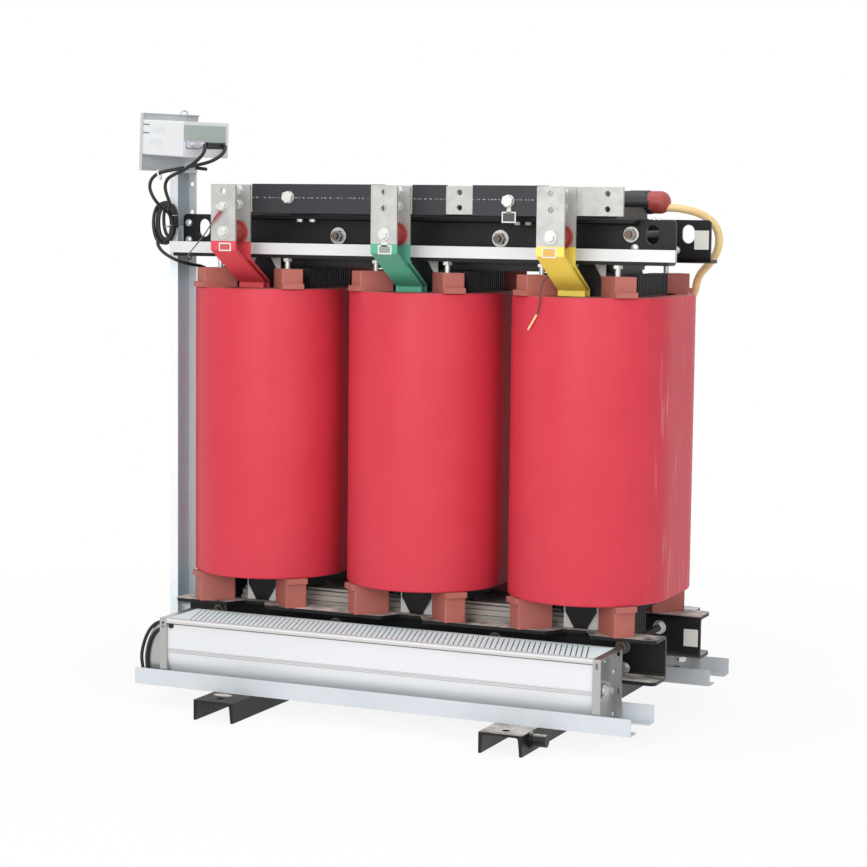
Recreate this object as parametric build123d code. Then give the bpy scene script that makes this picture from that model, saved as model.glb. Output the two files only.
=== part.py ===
from build123d import *
import math
import os

# Three-phase cast-resin dry-type power transformer on channel skids.
# Lengths in millimetres. X runs along the core, Y from the low-voltage front
# to the high-voltage rear, Z up. Sizes along X are from the middle limb; the finished
# pieces move along X so that the origin is on the ground under the middle of the whole.

# Windings: three cast coils of stadium plan, each round its own core limb
coil_pitch = 402
coil_half_width = 184
coil_straight = 136
coil_bottom = 292
coil_height = 672
hv_wall = 44
coil_gap = 24
lv_wall = 44
coil_edge_radius = 5

# Tap pad: raised resin panel cast on the rear of each high-voltage coil
tap_pad_width = 96
tap_pad_height = 300
tap_pad_depth = 12
tap_stud_radius = 7
tap_stud_length = 14
tap_stud_rows = 4
tap_stud_spacing_x = 48
tap_stud_spacing_z = 52
tap_edge_radius = 6

# Core: stepped laminated limbs and yokes, clamped between channels
limb_width = 124
yoke_height = 146
limb_step_width_shares = (1.0, 0.93, 0.82, 0.66)
core_depth = 226
core_step_depth_shares = (0.68, 0.82, 0.92, 1.0)
yoke_step_height_shares = (1.0, 0.93, 0.82, 0.66)
bottom_yoke_middle = 180
top_yoke_rise = 122
board_thickness = 4
board_width = 84
tie_plate_thickness = 8
tie_plate_width = 71
tie_plate_neck = 32
tie_plate_taper = 34
packer_gap = 6

# Clamps: pressed channels along both sides of the two yokes
bottom_clamp_left = -592
bottom_clamp_right = 605
top_clamp_left = -611
top_clamp_right = 608
clamp_wall = 8
clamp_bend = 14
bottom_clamp_bottom = 124
bottom_clamp_height = 100
bottom_clamp_depth = 80
top_clamp_rise = 70
top_clamp_height = 98
top_clamp_depth = 55
top_flange_half_length = 525
clamp_corner_radius = 9
flange_corner_radius = 14
flange_notch_depth = 44
flange_notch_half_width = 26
flange_notch_run = 26
lifting_slot_width = 30
lifting_slot_height = 42
lifting_slot_x = 555
lifting_slot_rise = 66

# Rods: threaded rods that pull the clamps together
rod_radius = 8
rod_clearance = 1
rod_tail = 26
nut_across_flats = 24
nut_height = 13
washer_radius = 17
washer_thickness = 3
yoke_rod_x = 201
end_rod_x = 507
bottom_end_rod_z = 192
top_end_rod_rise = 66

# Base: two hot-rolled channel skids, web up, and the feet under the bottom clamps
skid_x = 347
skid_width = 100
skid_height = 46
skid_length = 914
skid_web = 5.5
skid_flange_tip = 6
skid_flange_root = 10
skid_root_radius = 6
anchor_hole_radius = 9
anchor_hole_inset = 35
stub_radius = 13.5
stub_length = 37
stub_collar_radius = 17.5
stub_collar_thickness = 6
stub_inset = 52
stub_drop = 18
foot_width = 90
foot_depth = 70
foot_wall = 8

# Support blocks: resin blocks set at 45 degrees under and over the coils
block_length = 84
block_width = 50
bottom_block_turn = 45
top_block_turn = 49
block_edge_radius = 3
block_lip = 8
block_lip_height = 12
top_block_height = 45
press_bolt_inset = 8
press_bolt_radius = 6
press_bolt_flats = 19
press_bolt_head = 7
press_bolt_head_drop = 1

# Low-voltage leads: flat bars from the coil tops to the terminals
bar_width = 63
bar_thickness = 6
bar_rise = 237
phase_bar_front = 313
phase_bend_rise = 88
phase_foot_y = 178
neutral_lead_front = 245
neutral_bend_rise = 66
neutral_foot_y = 150
foot_rise = 12
bar_corner_radius = 3
bar_shifts = (-2, -3, -15)
terminal_hole_radius = 6.5
terminal_hole_top = 15.5
terminal_hole_spacing = 35

# Neutral bar: flat bar across the three rear leads, sleeved between its contacts
neutral_bar_left = -434
neutral_bar_right = 523
neutral_bar_height = 62
neutral_bar_thickness = 8
neutral_end_hole_inset = 35
neutral_end_hole_spacing = 33
neutral_patch_left = 113
neutral_patch_right = 177
sleeve_wall = 2
sleeve_gap = 4
standoff_radius = 27
standoff_neck_radius = 21
standoff_flange = 8
standoff_drop = 108
bracket_x = (-280, 258)
bracket_width = 44
bracket_thickness = 6
bracket_foot = 40

# Edge strip: white moulded strip along the front of the top clamp
strip_half_length = 622
strip_height = 26
strip_depth = 12
strip_wall = 2

# Fans: a cross-flow fan lies between two angle rails on each long side
rail_half_length = 606
rail_leg = 38
rail_wall = 3
rail_outer_face = 365
rail_inner_face = 206
fan_left = -526
fan_right = 516
fan_height = 155
fan_depth = 143
fan_lip_height = 11
fan_ridge_height = 77
fan_ridge_radius = 2.5
fan_ridge_spacing = 6
fan_panel_inset = 6
fan_trough_depth = 30
fan_trough_wall = 10
grille_thickness = 2
grille_slot_pitch = 12.4
grille_slot_width = 3
grille_slot_margin = 12
grille_slot_lean = 37
end_plate_thickness = 2
end_plate_flange = 18
end_plate_slot_length = 14
end_plate_slot_width = 7
end_plate_slot_inset = 9
outer_slot_rises = (140,)
inner_slot_rises = (144, 60)
hub_radius = 17
hub_length = 12
hub_height = 76
hub_shift = 13
hub_dome = 8
cover_top = 149
cover_shoulder = 24
cover_belly_rise = 56
cover_belly_reach = 68
cover_bulge_rise = 106
cover_bulge_reach = 55
cover_foot_reach = 64
cover_half_depth = 52
fan_cable_radius = 4
fan_cable_gap = 0.4
fan_cable_outer_route = (
    (0, 144), (18, 144), (34, 139), (50, 125), (62, 104), (70, 81), (74, 59), (72, 39), (67, 18), (67, 0)
)
fan_cable_inner_route = (
    (0, 128), (18, 128), (34, 121), (46, 106), (54, 86), (59, 62), (59, 40), (55, 18), (55, 0)
)

# Controller: post at the left end, sheet tray and panel-mounted control unit
post_left = -633
post_front = -159
post_width = 88
post_flange = 21.5
post_wall = 2.5
post_bottom = 124
post_above_bars = 30.5
post_hole_radius = 5
post_hole_drops = (28.5, 94.5)
post_lug_overlap = 28
post_lug_height = 40
post_lug_thickness = 5
tray_left_x = -674.5
tray_left_y = -231
tray_turn = 70
tray_lean = 3
tray_width = 174
tray_height = 134
tray_lift = 1
tray_flange = 9
tray_wall = 2
tray_ring_radius = 11
tray_ring_wire = 2
tray_ring_along = 128
case_width = 136
case_height = 81
case_depth = 152
case_inset = 2.5
case_rise = 37.5
case_rim = 4
case_recess_height = 20
case_recess_depth = 10
case_recess_rise = 20
case_recess_margin = 8
plug_width = 44
plug_height = 16
plug_depth = 24
terminal_width = 52

# High-voltage link: sleeved round bar over the rear clamp with moulded end caps
link_radius = 26
link_half_length = 455
link_y = 150
link_rise = 39
link_cap_length = 48
link_saddle_width = 30
link_saddle_x = (-300, 0, 300)
link_cap_dome_share = 0.9
hv_lead_radius = 9
hv_lead_drop = 12
hv_lead_seat = 18
hv_boss_x = 48
hv_boss_size = 34
hv_boss_drop = 4
hv_boss_reach = 36
hv_lead_loop = (
    (14, 0, -12), (38, 8, -16), (57, 22, -22), (72, 36, -30), (86, 47, -42), (96, 53, -58), (101, 56, -78),
    (100, 57, -99), (92, 58.5, -120), (77, 61, -140)
)
hv_lead_tail = ((76, -54, 69), (63, -43, 49), (56, -29, 30), (46, -15, 14), (32, -4, 4), (16, 0, 0), (0, 0, 0))

# Cables: control cables from the controller, and thin sensing leads
cable_radius = 4
hank_x = -637
hank_half_width = 27
hank_half_height = 52
hank_middle_drop = 89
hank_thickness = 24
plug_lead_out = 9
terminal_lead_inset = 8
plug_lead_inset = 10
control_cable_route = (
    (-472, -180, 85), (-472, -188, 74), (-482, -195, 62), (-502, -203, 51), (-530, -212, 44), (-570, -226, 35),
    (-604, -236, 29), (-624, -241, 21), (-636, -242, 8), (-640, -241, -8), (-635, -238, -26), (-627, -231, -42),
    (-625, -218, -55), (-629, -203, -62)
)
sensor_cable_route = (
    (-485, -252, 84), (-486, -255, 73), (-498, -253, 60), (-522, -248, 44), (-548, -247, 30), (-572, -247, 21),
    (-586, -246, 14), (-595, -244, 3), (-598, -241, -10), (-596, -238, -23), (-593, -234, -35), (-593, -228, -46),
    (-599, -220, -54), (-608, -210, -59), (-614, -197, -62)
)
tail_route = (
    (-640, -199, -127), (-637, -210, -134), (-631, -215, -146), (-621, -213, -158), (-608, -207, -168),
    (-595, -198, -176), (-584, -185, -182), (-577, -166, -186), (-573, -143, -189), (-570, -118, -192),
    (-567, -97, -199), (-565, -81, -210), (-564, -72, -224)
)
sense_lead_start = (-409, -63)
sense_lead_route = (
    (-409, -321, -63), (-416, -325, -73), (-426, -323, -86), (-441, -314, -100), (-458, -300, -113),
    (-484, -276, -127), (-510, -250, -140), (-540, -222, -155), (-558, -205, -166), (-568, -192, -172),
    (-571, -179, -176), (-572, -170, -175), (-571, -166, -172)
)
sensor_wire_start = (-224.5, 41.6)
sensor_wire_route = (
    (-52.5, -224.5, 41.6), (-57, -230, 38), (-59, -239, 29), (-59.5, -246, 16), (-60, -249, 3), (-62, -247, -12),
    (-66, -244, -28), (-70, -242, -39)
)
probe_tip = (-85, -234.5, -74)
sense_lead_radius = 1.5
probe_radius = 2.4
cable_run_share = 0.45

# One overrun serves every cut
cut_over = 1

# Places worked out from the sizes above
coil_xs = [-coil_pitch, 0, coil_pitch]
coil_names = ["left", "centre", "right"]
coil_top = coil_bottom + coil_height
top_yoke_middle = coil_top + top_yoke_rise
top_clamp_bottom = coil_top + top_clamp_rise
lifting_slot_z = top_clamp_bottom + lifting_slot_rise
top_end_rod_z = top_clamp_bottom + top_end_rod_rise
bar_top = coil_top + bar_rise
phase_bar_bend = coil_top + phase_bend_rise
neutral_lead_bend = coil_top + neutral_bend_rise
standoff_z = bar_top - standoff_drop
post_top = bar_top + post_above_bars
tray_bottom = post_top + tray_lift
hank_middle = bar_top - hank_middle_drop
arc_y = coil_straight / 2
lv_outer = coil_half_width - hv_wall - coil_gap
lv_inner = lv_outer - lv_wall
coil_half_depth = arc_y + coil_half_width
core_face = core_depth / 2
board_face = core_face + board_thickness
web_inner = board_face + tie_plate_thickness
web_outer = web_inner + clamp_wall
bottom_clamp_top = bottom_clamp_bottom + bottom_clamp_height
top_clamp_top = top_clamp_bottom + top_clamp_height
link_z = top_clamp_top + link_rise
bottom_flange_tip = web_inner + bottom_clamp_depth
top_flange_tip = web_inner + top_clamp_depth
yoke_half_length = coil_pitch + limb_width / 2
rail_floor = skid_height + rail_wall
fan_bottom = rail_floor
fan_top = fan_bottom + fan_height
fan_middle = (rail_outer_face + rail_inner_face) / 2
skid_half_length = skid_length / 2
block_spots = [(sx, sy) for sx in (-1, 1) for sy in (-1, 1)]
frame_shift = (-tray_left_x - strip_half_length) / 2


def span(x0, x1, y0, y1, z0, z1):
    """Rectangular solid between two corners."""
    size = (x1 - x0, y1 - y0, z1 - z0)
    centre = ((x0 + x1) / 2, (y0 + y1) / 2, (z0 + z1) / 2)
    return Pos(*centre) * Box(*size)


def side_span(side, x0, x1, y0, y1, z0, z1):
    """Rectangular solid whose Y range is measured outwards on one side of the core."""
    low, high = sorted((side * y0, side * y1))
    return span(x0, x1, low, high, z0, z1)


def rod_along_y(x, z, y0, y1, radius):
    """Round bar along Y between two places."""
    return Plane(origin=(x, y0, z), x_dir=(1, 0, 0), z_dir=(0, 1, 0)) * Cylinder(
        radius, y1 - y0, align=(Align.CENTER, Align.CENTER, Align.MIN)
    )


def hex_along_y(x, z, y0, y1, flats):
    """Hexagon bar along Y between two places."""
    face = RegularPolygon(flats / 2, 6, major_radius=False)
    plane = Plane(origin=(x, y0, z), x_dir=(1, 0, 0), z_dir=(0, 1, 0))
    return extrude(plane * face, amount=y1 - y0)


def upright_cylinder(x, y, z0, z1, radius):
    """Round bar along Z between two heights."""
    base = Align.MIN
    return Pos(x, y, z0) * Cylinder(radius, z1 - z0, align=(Align.CENTER, Align.CENTER, base))


def stadium(radius):
    """Coil outline in plan: two half circles joined by straight sides along Y."""
    return SlotCenterToCenter(coil_straight, 2 * radius, rotation=90)


def side_plane(side, x, y, z):
    """Plane across X whose first axis points outwards on one side of the core."""
    return Plane(origin=(x, side * y, z), x_dir=(0, side, 0), z_dir=(side, 0, 0))


def swept_along_x(side, x0, x1, y, z, profile):
    """Profile, drawn outwards and up, carried along X between two places."""
    plane = side_plane(side, x0 if side > 0 else x1, y, z)
    return extrude(plane * profile, amount=x1 - x0)


def round_flange_tips(side, clamp):
    """Rounded corners at the ends of a channel's flanges."""
    tips = clamp.edges().filter_by(Axis.Z).group_by(Axis.Y)[-1 if side > 0 else 0]
    return fillet(tips, flange_corner_radius)


def channel_profile(depth, height, wall, bend):
    """Pressed channel section: web on the first axis zero, flanges outwards."""
    outer = Pos(depth / 2, height / 2) * Rectangle(depth, height)
    outer = fillet(outer.vertices().group_by(Axis.X)[0], bend)
    inner = Pos(wall + depth / 2, height / 2) * Rectangle(depth, height - 2 * wall)
    inner = fillet(inner.vertices().group_by(Axis.X)[0], bend - wall)
    return outer - inner


def bent_strip(points, thickness):
    """Face of a flat bar bent along a line of points, with mitred corners."""
    offsets = []
    for i, point in enumerate(points):
        here = Vector(*point)
        runs = []
        if i > 0:
            runs.append((here - Vector(*points[i - 1])).normalized())
        if i < len(points) - 1:
            runs.append((Vector(*points[i + 1]) - here).normalized())
        normals = [Vector(-run.Y, run.X) for run in runs]
        mitre = (normals[0] + normals[-1]).normalized()
        reach = thickness / mitre.dot(normals[0])
        offsets.append(here + mitre * reach)
    outline = [Vector(*point) for point in points] + offsets[::-1]
    return make_face(Polyline(*outline, close=True))


def save(name, shapes):
    """Write one node: a single solid, or several that do not touch."""
    solids = []
    for shape in shapes:
        solids += shape.solids()
    solids = [Pos(frame_shift, 0, 0) * solid for solid in solids]
    node = solids[0] if len(solids) == 1 else Compound(solids)
    export_step(node, f"parts/{name}.step")


def hv_coil(x):
    """Cast high-voltage coil with its tap pad on the rear."""
    ring = extrude(stadium(coil_half_width) - stadium(coil_half_width - hv_wall), amount=coil_height)
    rims = ring.edges().filter_by(GeomType.CIRCLE).group_by(SortBy.RADIUS)[-1]
    straights = ring.edges().filter_by(Axis.Y).group_by(Axis.X)
    ring = fillet(rims + straights[0].filter_by(Axis.Y) + straights[-1], coil_edge_radius)
    pad_middle = coil_height / 2
    pad = Pos(0, coil_half_depth, pad_middle) * Box(tap_pad_width, 2 * tap_pad_depth, tap_pad_height)
    pad = fillet(pad.faces().sort_by(Axis.Y)[-1].edges(), tap_edge_radius)
    flat = span(
        -tap_pad_width / 2,
        tap_pad_width / 2,
        coil_half_depth - hv_wall / 2,
        coil_half_depth,
        pad_middle - tap_pad_height / 2,
        pad_middle + tap_pad_height / 2,
    )
    boss_top = coil_height - hv_boss_drop
    boss = span(
        hv_boss_x,
        hv_boss_x + hv_boss_size,
        coil_half_depth - hv_wall / 2,
        coil_half_depth + hv_boss_reach,
        boss_top - hv_boss_size,
        boss_top,
    )
    return Pos(x, 0, coil_bottom) * (ring + pad + flat + boss)


def tap_studs(x):
    """Brass tap studs that stand out of one tap pad."""
    face = coil_half_depth + tap_pad_depth
    middle = coil_bottom + coil_height / 2
    first = middle - (tap_stud_rows - 1) / 2 * tap_stud_spacing_z
    studs = []
    for row in range(tap_stud_rows):
        for side in (-1, 1):
            stud_x = x + side * tap_stud_spacing_x / 2
            stud_z = first + row * tap_stud_spacing_z
            studs.append(rod_along_y(stud_x, stud_z, face, face + tap_stud_length, tap_stud_radius))
    return studs


def lv_coil(x):
    """Foil-wound low-voltage coil inside the cast coil."""
    ring = extrude(stadium(lv_outer) - stadium(lv_inner), amount=coil_height)
    return Pos(x, 0, coil_bottom) * ring


def core_limb(x):
    """Stepped limb between the two yokes."""
    z0 = bottom_yoke_middle + yoke_height / 2
    z1 = top_yoke_middle - yoke_height / 2
    face = Sketch()
    for width_share, depth_share in zip(limb_step_width_shares, core_step_depth_shares):
        face += Rectangle(limb_width * width_share, core_depth * depth_share)
    return extrude(Pos(x, 0, z0) * face, amount=z1 - z0)


def core_yoke(middle):
    """Stepped yoke across the three limbs, with holes for its clamping rods."""
    section = Sketch()
    for height_share, depth_share in zip(yoke_step_height_shares, core_step_depth_shares):
        section += Rectangle(core_depth * depth_share, yoke_height * height_share)
    yoke = extrude(side_plane(1, -yoke_half_length, 0, middle) * section, amount=2 * yoke_half_length)
    for rod_x in (-yoke_rod_x, yoke_rod_x):
        reach = core_face + cut_over
        yoke -= rod_along_y(rod_x, middle, -reach, reach, rod_radius + rod_clearance)
    return yoke


def tie_plate(x, side):
    """Tapered pull plate on one face of a limb, necked where it passes the clamps."""
    half = tie_plate_width / 2
    neck = tie_plate_neck / 2
    low = bottom_clamp_bottom + clamp_bend
    high = top_clamp_top - clamp_bend
    low_wide = bottom_clamp_top + tie_plate_taper
    high_wide = top_clamp_bottom - tie_plate_taper
    right_edge = [
        (neck, low),
        (neck, bottom_clamp_top),
        (half, low_wide),
        (half, high_wide),
        (neck, top_clamp_bottom),
        (neck, high),
    ]
    left_edge = [(-u, v) for u, v in right_edge[::-1]]
    face = make_face(Polyline(*right_edge, *left_edge, close=True))
    plane = Plane(origin=(x, side * board_face, 0), x_dir=(-side, 0, 0), z_dir=(0, side, 0))
    return extrude(plane * face, amount=tie_plate_thickness)


def limb_board(x, side):
    """Insulating board between a limb and its tie plate."""
    low = bottom_clamp_bottom + clamp_bend
    high = top_clamp_top - clamp_bend
    half = board_width / 2
    return side_span(side, x - half, x + half, core_face, board_face, low, high)


def yoke_packers(side):
    """Insulating packers that fill the gap between the clamps and the yokes."""
    pieces = []
    clear = board_width / 2 + packer_gap
    ranges = [(-coil_pitch + clear, -clear), (clear, coil_pitch - clear)]
    for low, height in ((bottom_clamp_bottom, bottom_clamp_height), (top_clamp_bottom, top_clamp_height)):
        middle = bottom_yoke_middle if low == bottom_clamp_bottom else top_yoke_middle
        for x0, x1 in ranges:
            block = side_span(
                side, x0, x1, core_face, web_inner, low + clamp_bend, low + height - clamp_bend
            )
            for rod_x in (-yoke_rod_x, yoke_rod_x):
                low_y, high_y = sorted((side * (core_face - cut_over), side * (web_inner + cut_over)))
                block -= rod_along_y(rod_x, middle, low_y, high_y, rod_radius + rod_clearance)
            pieces.append(block)
    return pieces


def rod_holes(side, places):
    """Cutters for the rods through one clamp web."""
    low, high = sorted((side * (web_inner - cut_over), side * (web_outer + cut_over)))
    holes = Part()
    for x, z in places:
        holes += rod_along_y(x, z, low, high, rod_radius + rod_clearance)
    return holes


def mirrored_places(x, z):
    """The same place at both ends of the core."""
    return [(-x, z), (x, z)]


def bottom_clamp(side):
    """Bottom channel: its top flange is cut back in front of each limb."""
    profile = channel_profile(bottom_clamp_depth, bottom_clamp_height, clamp_wall, clamp_bend)
    clamp = swept_along_x(side, bottom_clamp_left, bottom_clamp_right, web_inner, bottom_clamp_bottom, profile)
    clamp = round_flange_tips(side, clamp)
    inner = bottom_flange_tip - flange_notch_depth
    outer = bottom_flange_tip + cut_over
    wide = flange_notch_half_width + flange_notch_run
    for x in coil_xs:
        outline = [
            (x - wide, side * outer),
            (x - flange_notch_half_width, side * inner),
            (x + flange_notch_half_width, side * inner),
            (x + wide, side * outer),
        ]
        notch = make_face(Polyline(*outline, close=True))
        cut_z = bottom_clamp_top - clamp_wall - cut_over
        clamp -= extrude(Pos(0, 0, cut_z) * notch, amount=clamp_wall + 2 * cut_over, dir=(0, 0, 1))
    places = mirrored_places(yoke_rod_x, bottom_yoke_middle) + mirrored_places(end_rod_x, bottom_end_rod_z)
    return clamp - rod_holes(side, places)


def top_clamp(side):
    """Top channel: its web runs on past the upper flange and carries the lifting slots."""
    profile = channel_profile(top_clamp_depth, top_clamp_height, clamp_wall, clamp_bend)
    clamp = swept_along_x(side, top_clamp_left, top_clamp_right, web_inner, top_clamp_bottom, profile)
    flange_z = top_clamp_top - clamp_bend
    for end, clamp_end in ((-1, top_clamp_left), (1, top_clamp_right)):
        x0, x1 = sorted((end * top_flange_half_length, clamp_end + end * cut_over))
        clamp -= side_span(side, x0, x1, 0, top_flange_tip + cut_over, flange_z, top_clamp_top + cut_over)
        x0, x1 = sorted((end * top_flange_half_length, clamp_end))
        plate = side_span(side, x0, x1, web_inner, web_outer, flange_z - clamp_bend, top_clamp_top)
        corner = plate.edges().filter_by(Axis.Y).group_by(Axis.Z)[-1].sort_by(Axis.X)[-1 if end > 0 else 0]
        clamp += fillet(corner, clamp_corner_radius)
        slot = SlotCenterToCenter(lifting_slot_height - lifting_slot_width, lifting_slot_width, rotation=90)
        low = min(side * (web_inner - cut_over), side * (web_outer + cut_over))
        plane = Plane(
            origin=(end * lifting_slot_x, low, lifting_slot_z), x_dir=(1, 0, 0), z_dir=(0, 1, 0)
        )
        clamp -= extrude(plane * slot, amount=clamp_wall + 2 * cut_over)
    places = mirrored_places(yoke_rod_x, top_yoke_middle) + mirrored_places(end_rod_x, top_end_rod_z)
    return clamp - rod_holes(side, places)


def clamp_rod(x, z):
    """Threaded rod through both clamps with a washer and a nut at each end."""
    end = web_outer + rod_tail
    rod = rod_along_y(x, z, -end, end, rod_radius)
    for side in (-1, 1):
        faces = sorted((side * web_outer, side * (web_outer + washer_thickness)))
        rod += rod_along_y(x, z, *faces, washer_radius)
        seat = web_outer + washer_thickness
        nut = sorted((side * seat, side * (seat + nut_height)))
        rod += hex_along_y(x, z, *nut, nut_across_flats)
    return rod


def skid(side):
    """Hot-rolled channel, web up, with anchor holes; the right one has a round stub at each end."""
    half = skid_width / 2
    root_z = skid_height - skid_web
    outline = [
        (-half, 0),
        (-half, skid_height),
        (half, skid_height),
        (half, 0),
        (half - skid_flange_tip, 0),
        (half - skid_flange_root, root_z),
        (-half + skid_flange_root, root_z),
        (-half + skid_flange_tip, 0),
    ]
    face = make_face(Polyline(*outline, close=True))
    roots = face.vertices().filter_by(lambda v: abs(v.Y - root_z) < cut_over)
    face = fillet(roots, skid_root_radius)
    plane = Plane(origin=(side * skid_x, skid_half_length, 0), x_dir=(1, 0, 0), z_dir=(0, -1, 0))
    beam = extrude(plane * face, amount=skid_length)
    for end in (-1, 1):
        hole_y = end * (skid_half_length - anchor_hole_inset)
        beam -= upright_cylinder(
            side * skid_x, hole_y, root_z - cut_over, skid_height + cut_over, anchor_hole_radius
        )
        if side < 0:
            continue
        stub_y = end * (skid_half_length - stub_inset)
        outer = side * (skid_x + half)
        stub_z = skid_height - stub_drop
        axis = Plane(origin=(outer, stub_y, stub_z), x_dir=(0, 1, 0), z_dir=(side, 0, 0))
        seat = (Align.CENTER, Align.CENTER, Align.MIN)
        stub = axis * Cylinder(stub_radius, stub_length, align=seat)
        beam += stub + axis * Cylinder(stub_collar_radius, stub_collar_thickness, align=seat)
    return beam


def clamp_feet():
    """Pressed feet that carry the bottom clamps on the skids."""
    feet = []
    for side in (-1, 1):
        for end in (-1, 1):
            x = end * skid_x
            foot = side_span(
                side,
                x - foot_width / 2,
                x + foot_width / 2,
                web_outer,
                web_outer + foot_depth,
                skid_height,
                bottom_clamp_bottom,
            )
            foot -= side_span(
                side,
                x - foot_width / 2 + foot_wall,
                x + foot_width / 2 - foot_wall,
                web_outer + foot_wall,
                web_outer + foot_depth + cut_over,
                skid_height + foot_wall,
                bottom_clamp_bottom - foot_wall,
            )
            feet.append(foot)
    return feet


def block_spot(x, sx, sy, turn, reach):
    """Place in plan at a reach from the coil's arc centre, at an angle from the X axis."""
    angle = math.radians(turn)
    return (x + sx * reach * math.cos(angle), sy * (arc_y + reach * math.sin(angle)))


def block_place(x, sx, sy, z, turn):
    """Place of a support block: its length points outwards and its end meets the coil's rim."""
    angle = math.radians(turn)
    heading = math.degrees(math.atan2(sy * math.sin(angle), sx * math.cos(angle)))
    middle = block_spot(x, sx, sy, turn, coil_half_width - block_length / 2)
    return Pos(*middle, z) * Rot(0, 0, heading)


def support_block(height, lip_z):
    """Block against a coil: a lip at its outer end passes the coil's rim."""
    base = (Align.CENTER, Align.CENTER, Align.MIN)
    block = Box(block_length, block_width, height, align=base)
    block = fillet(block.edges().filter_by(Axis.Z), block_edge_radius)
    lip_length = block_lip + block_width / 2
    lip_x = block_length / 2 + block_lip - lip_length / 2
    lip = Pos(lip_x, 0, lip_z) * Box(lip_length, block_width, block_lip_height, align=base)
    return block + lip


def bottom_block():
    """Block under a coil, with its lip at the top."""
    height = coil_bottom - bottom_clamp_top
    return support_block(height, height - block_lip_height)


def top_block():
    """Block over a coil, with its lip at the foot."""
    return support_block(top_block_height, 0)


def blocks(solid, z, turn):
    """The four blocks of each coil."""
    return [block_place(x, sx, sy, z, turn) * solid for x in coil_xs for sx, sy in block_spots]


def press_bolts():
    """Adjusting bolts between the top blocks and the flange of the top clamps."""
    bolts = []
    z0 = coil_top + top_block_height
    head_top = top_clamp_bottom - press_bolt_head_drop
    head_bottom = head_top - press_bolt_head
    head = RegularPolygon(press_bolt_flats / 2, 6, major_radius=False)
    for x in coil_xs:
        for sx, sy in block_spots:
            reach = coil_half_width - block_length / 2 - press_bolt_inset
            bolt_x, bolt_y = block_spot(x, sx, sy, top_block_turn, reach)
            bolt = upright_cylinder(bolt_x, bolt_y, z0, top_clamp_bottom, press_bolt_radius)
            bolt += extrude(Pos(bolt_x, bolt_y, head_bottom) * head, amount=press_bolt_head)
            bolts.append(bolt)
    return bolts


def lead_bar(x, front, bend, foot_y):
    """Flat bar: foot on the coil, slope under the clamp, upright with terminal holes."""
    line = [
        (front, bar_top),
        (front, bend),
        (foot_y, coil_top + foot_rise),
        (foot_y, coil_top),
    ]
    face = bent_strip(line, -bar_thickness)
    plane = side_plane(-1, x + bar_width / 2, 0, 0)
    bar = extrude(plane * face, amount=bar_width)
    top_edges = bar.edges().filter_by(Axis.Y).group_by(Axis.Z)[-1]
    return fillet(top_edges, bar_corner_radius)


def terminal_holes(x, y0, y1):
    """Cutters for the two bolt holes near the top of a lead."""
    holes = Part()
    for i in range(2):
        z = bar_top - terminal_hole_top - i * terminal_hole_spacing
        holes += rod_along_y(x, z, y0, y1, terminal_hole_radius)
    return holes


def phase_bar(x):
    """Front lead of one phase with its two terminal holes."""
    reach = (-phase_bar_front - cut_over, -phase_bar_front + bar_thickness + cut_over)
    return lead_bar(x, phase_bar_front, phase_bar_bend, phase_foot_y) - terminal_holes(x, *reach)


def neutral_lead(x):
    """Rear lead of one phase, bolted to the neutral bar."""
    return lead_bar(x, neutral_lead_front, neutral_lead_bend, neutral_foot_y)


def neutral_bar():
    """Flat bar that joins the three rear leads, with holes at its bare contacts."""
    front = -neutral_lead_front + bar_thickness
    back = front + neutral_bar_thickness
    low = bar_top - neutral_bar_height
    bar = span(neutral_bar_left, neutral_bar_right, front, back, low, bar_top)
    middle = bar_top - neutral_bar_height / 2
    hole_xs = (neutral_bar_right - neutral_end_hole_inset, (neutral_patch_left + neutral_patch_right) / 2)
    for hole_x in hole_xs:
        for side in (-1, 1):
            z = middle + side * neutral_end_hole_spacing / 2
            bar -= rod_along_y(hole_x, z, front - cut_over, back + cut_over, terminal_hole_radius)
    return bar


def neutral_sleeves():
    """Heat-shrink sleeves on the neutral bar between its bare contacts."""
    front = -neutral_lead_front + bar_thickness
    back = front + neutral_bar_thickness
    low = bar_top - neutral_bar_height
    half = bar_width / 2 + sleeve_gap
    edges = [
        (-coil_pitch + bar_shifts[0] + half, bar_shifts[1] - half),
        (bar_shifts[1] + half, neutral_patch_left),
        (neutral_patch_right, coil_pitch + bar_shifts[2] - half),
    ]
    sleeves = []
    for x0, x1 in edges:
        outer = span(
            x0, x1, front - sleeve_wall, back + sleeve_wall, low - sleeve_wall, bar_top + sleeve_wall
        )
        sleeves.append(outer - span(x0 - cut_over, x1 + cut_over, front, back, low, bar_top))
    return sleeves


def standoff(x, z, y0, y1):
    """Round resin insulator along Y with a waisted body."""
    body = rod_along_y(x, z, y0, y1, standoff_neck_radius)
    body += rod_along_y(x, z, y0, y0 + standoff_flange, standoff_radius)
    return body + rod_along_y(x, z, y1 - standoff_flange, y1, standoff_radius)


def neutral_brackets():
    """Angle brackets on the top clamp that hold the neutral bar's insulators."""
    brackets = []
    tip = top_flange_tip
    for x in bracket_x:
        half = bracket_width / 2
        upright = span(x - half, x + half, -tip, -tip + bracket_thickness, top_clamp_top, bar_top)
        foot = span(
            x - half, x + half, -tip, -tip + bracket_foot, top_clamp_top, top_clamp_top + bracket_thickness
        )
        brackets.append(upright + foot)
    return brackets


def edge_strip():
    """Hollow moulded strip that stands on the lower flange of the front top clamp."""
    low = top_clamp_bottom + clamp_wall
    front = -top_flange_tip
    back = front + strip_depth
    outer = span(-strip_half_length, strip_half_length, front, back, low, low + strip_height)
    inner = span(
        -strip_half_length - cut_over,
        strip_half_length + cut_over,
        front + strip_wall,
        back - strip_wall,
        low + strip_wall,
        low + strip_height - strip_wall,
    )
    return outer - inner


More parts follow.
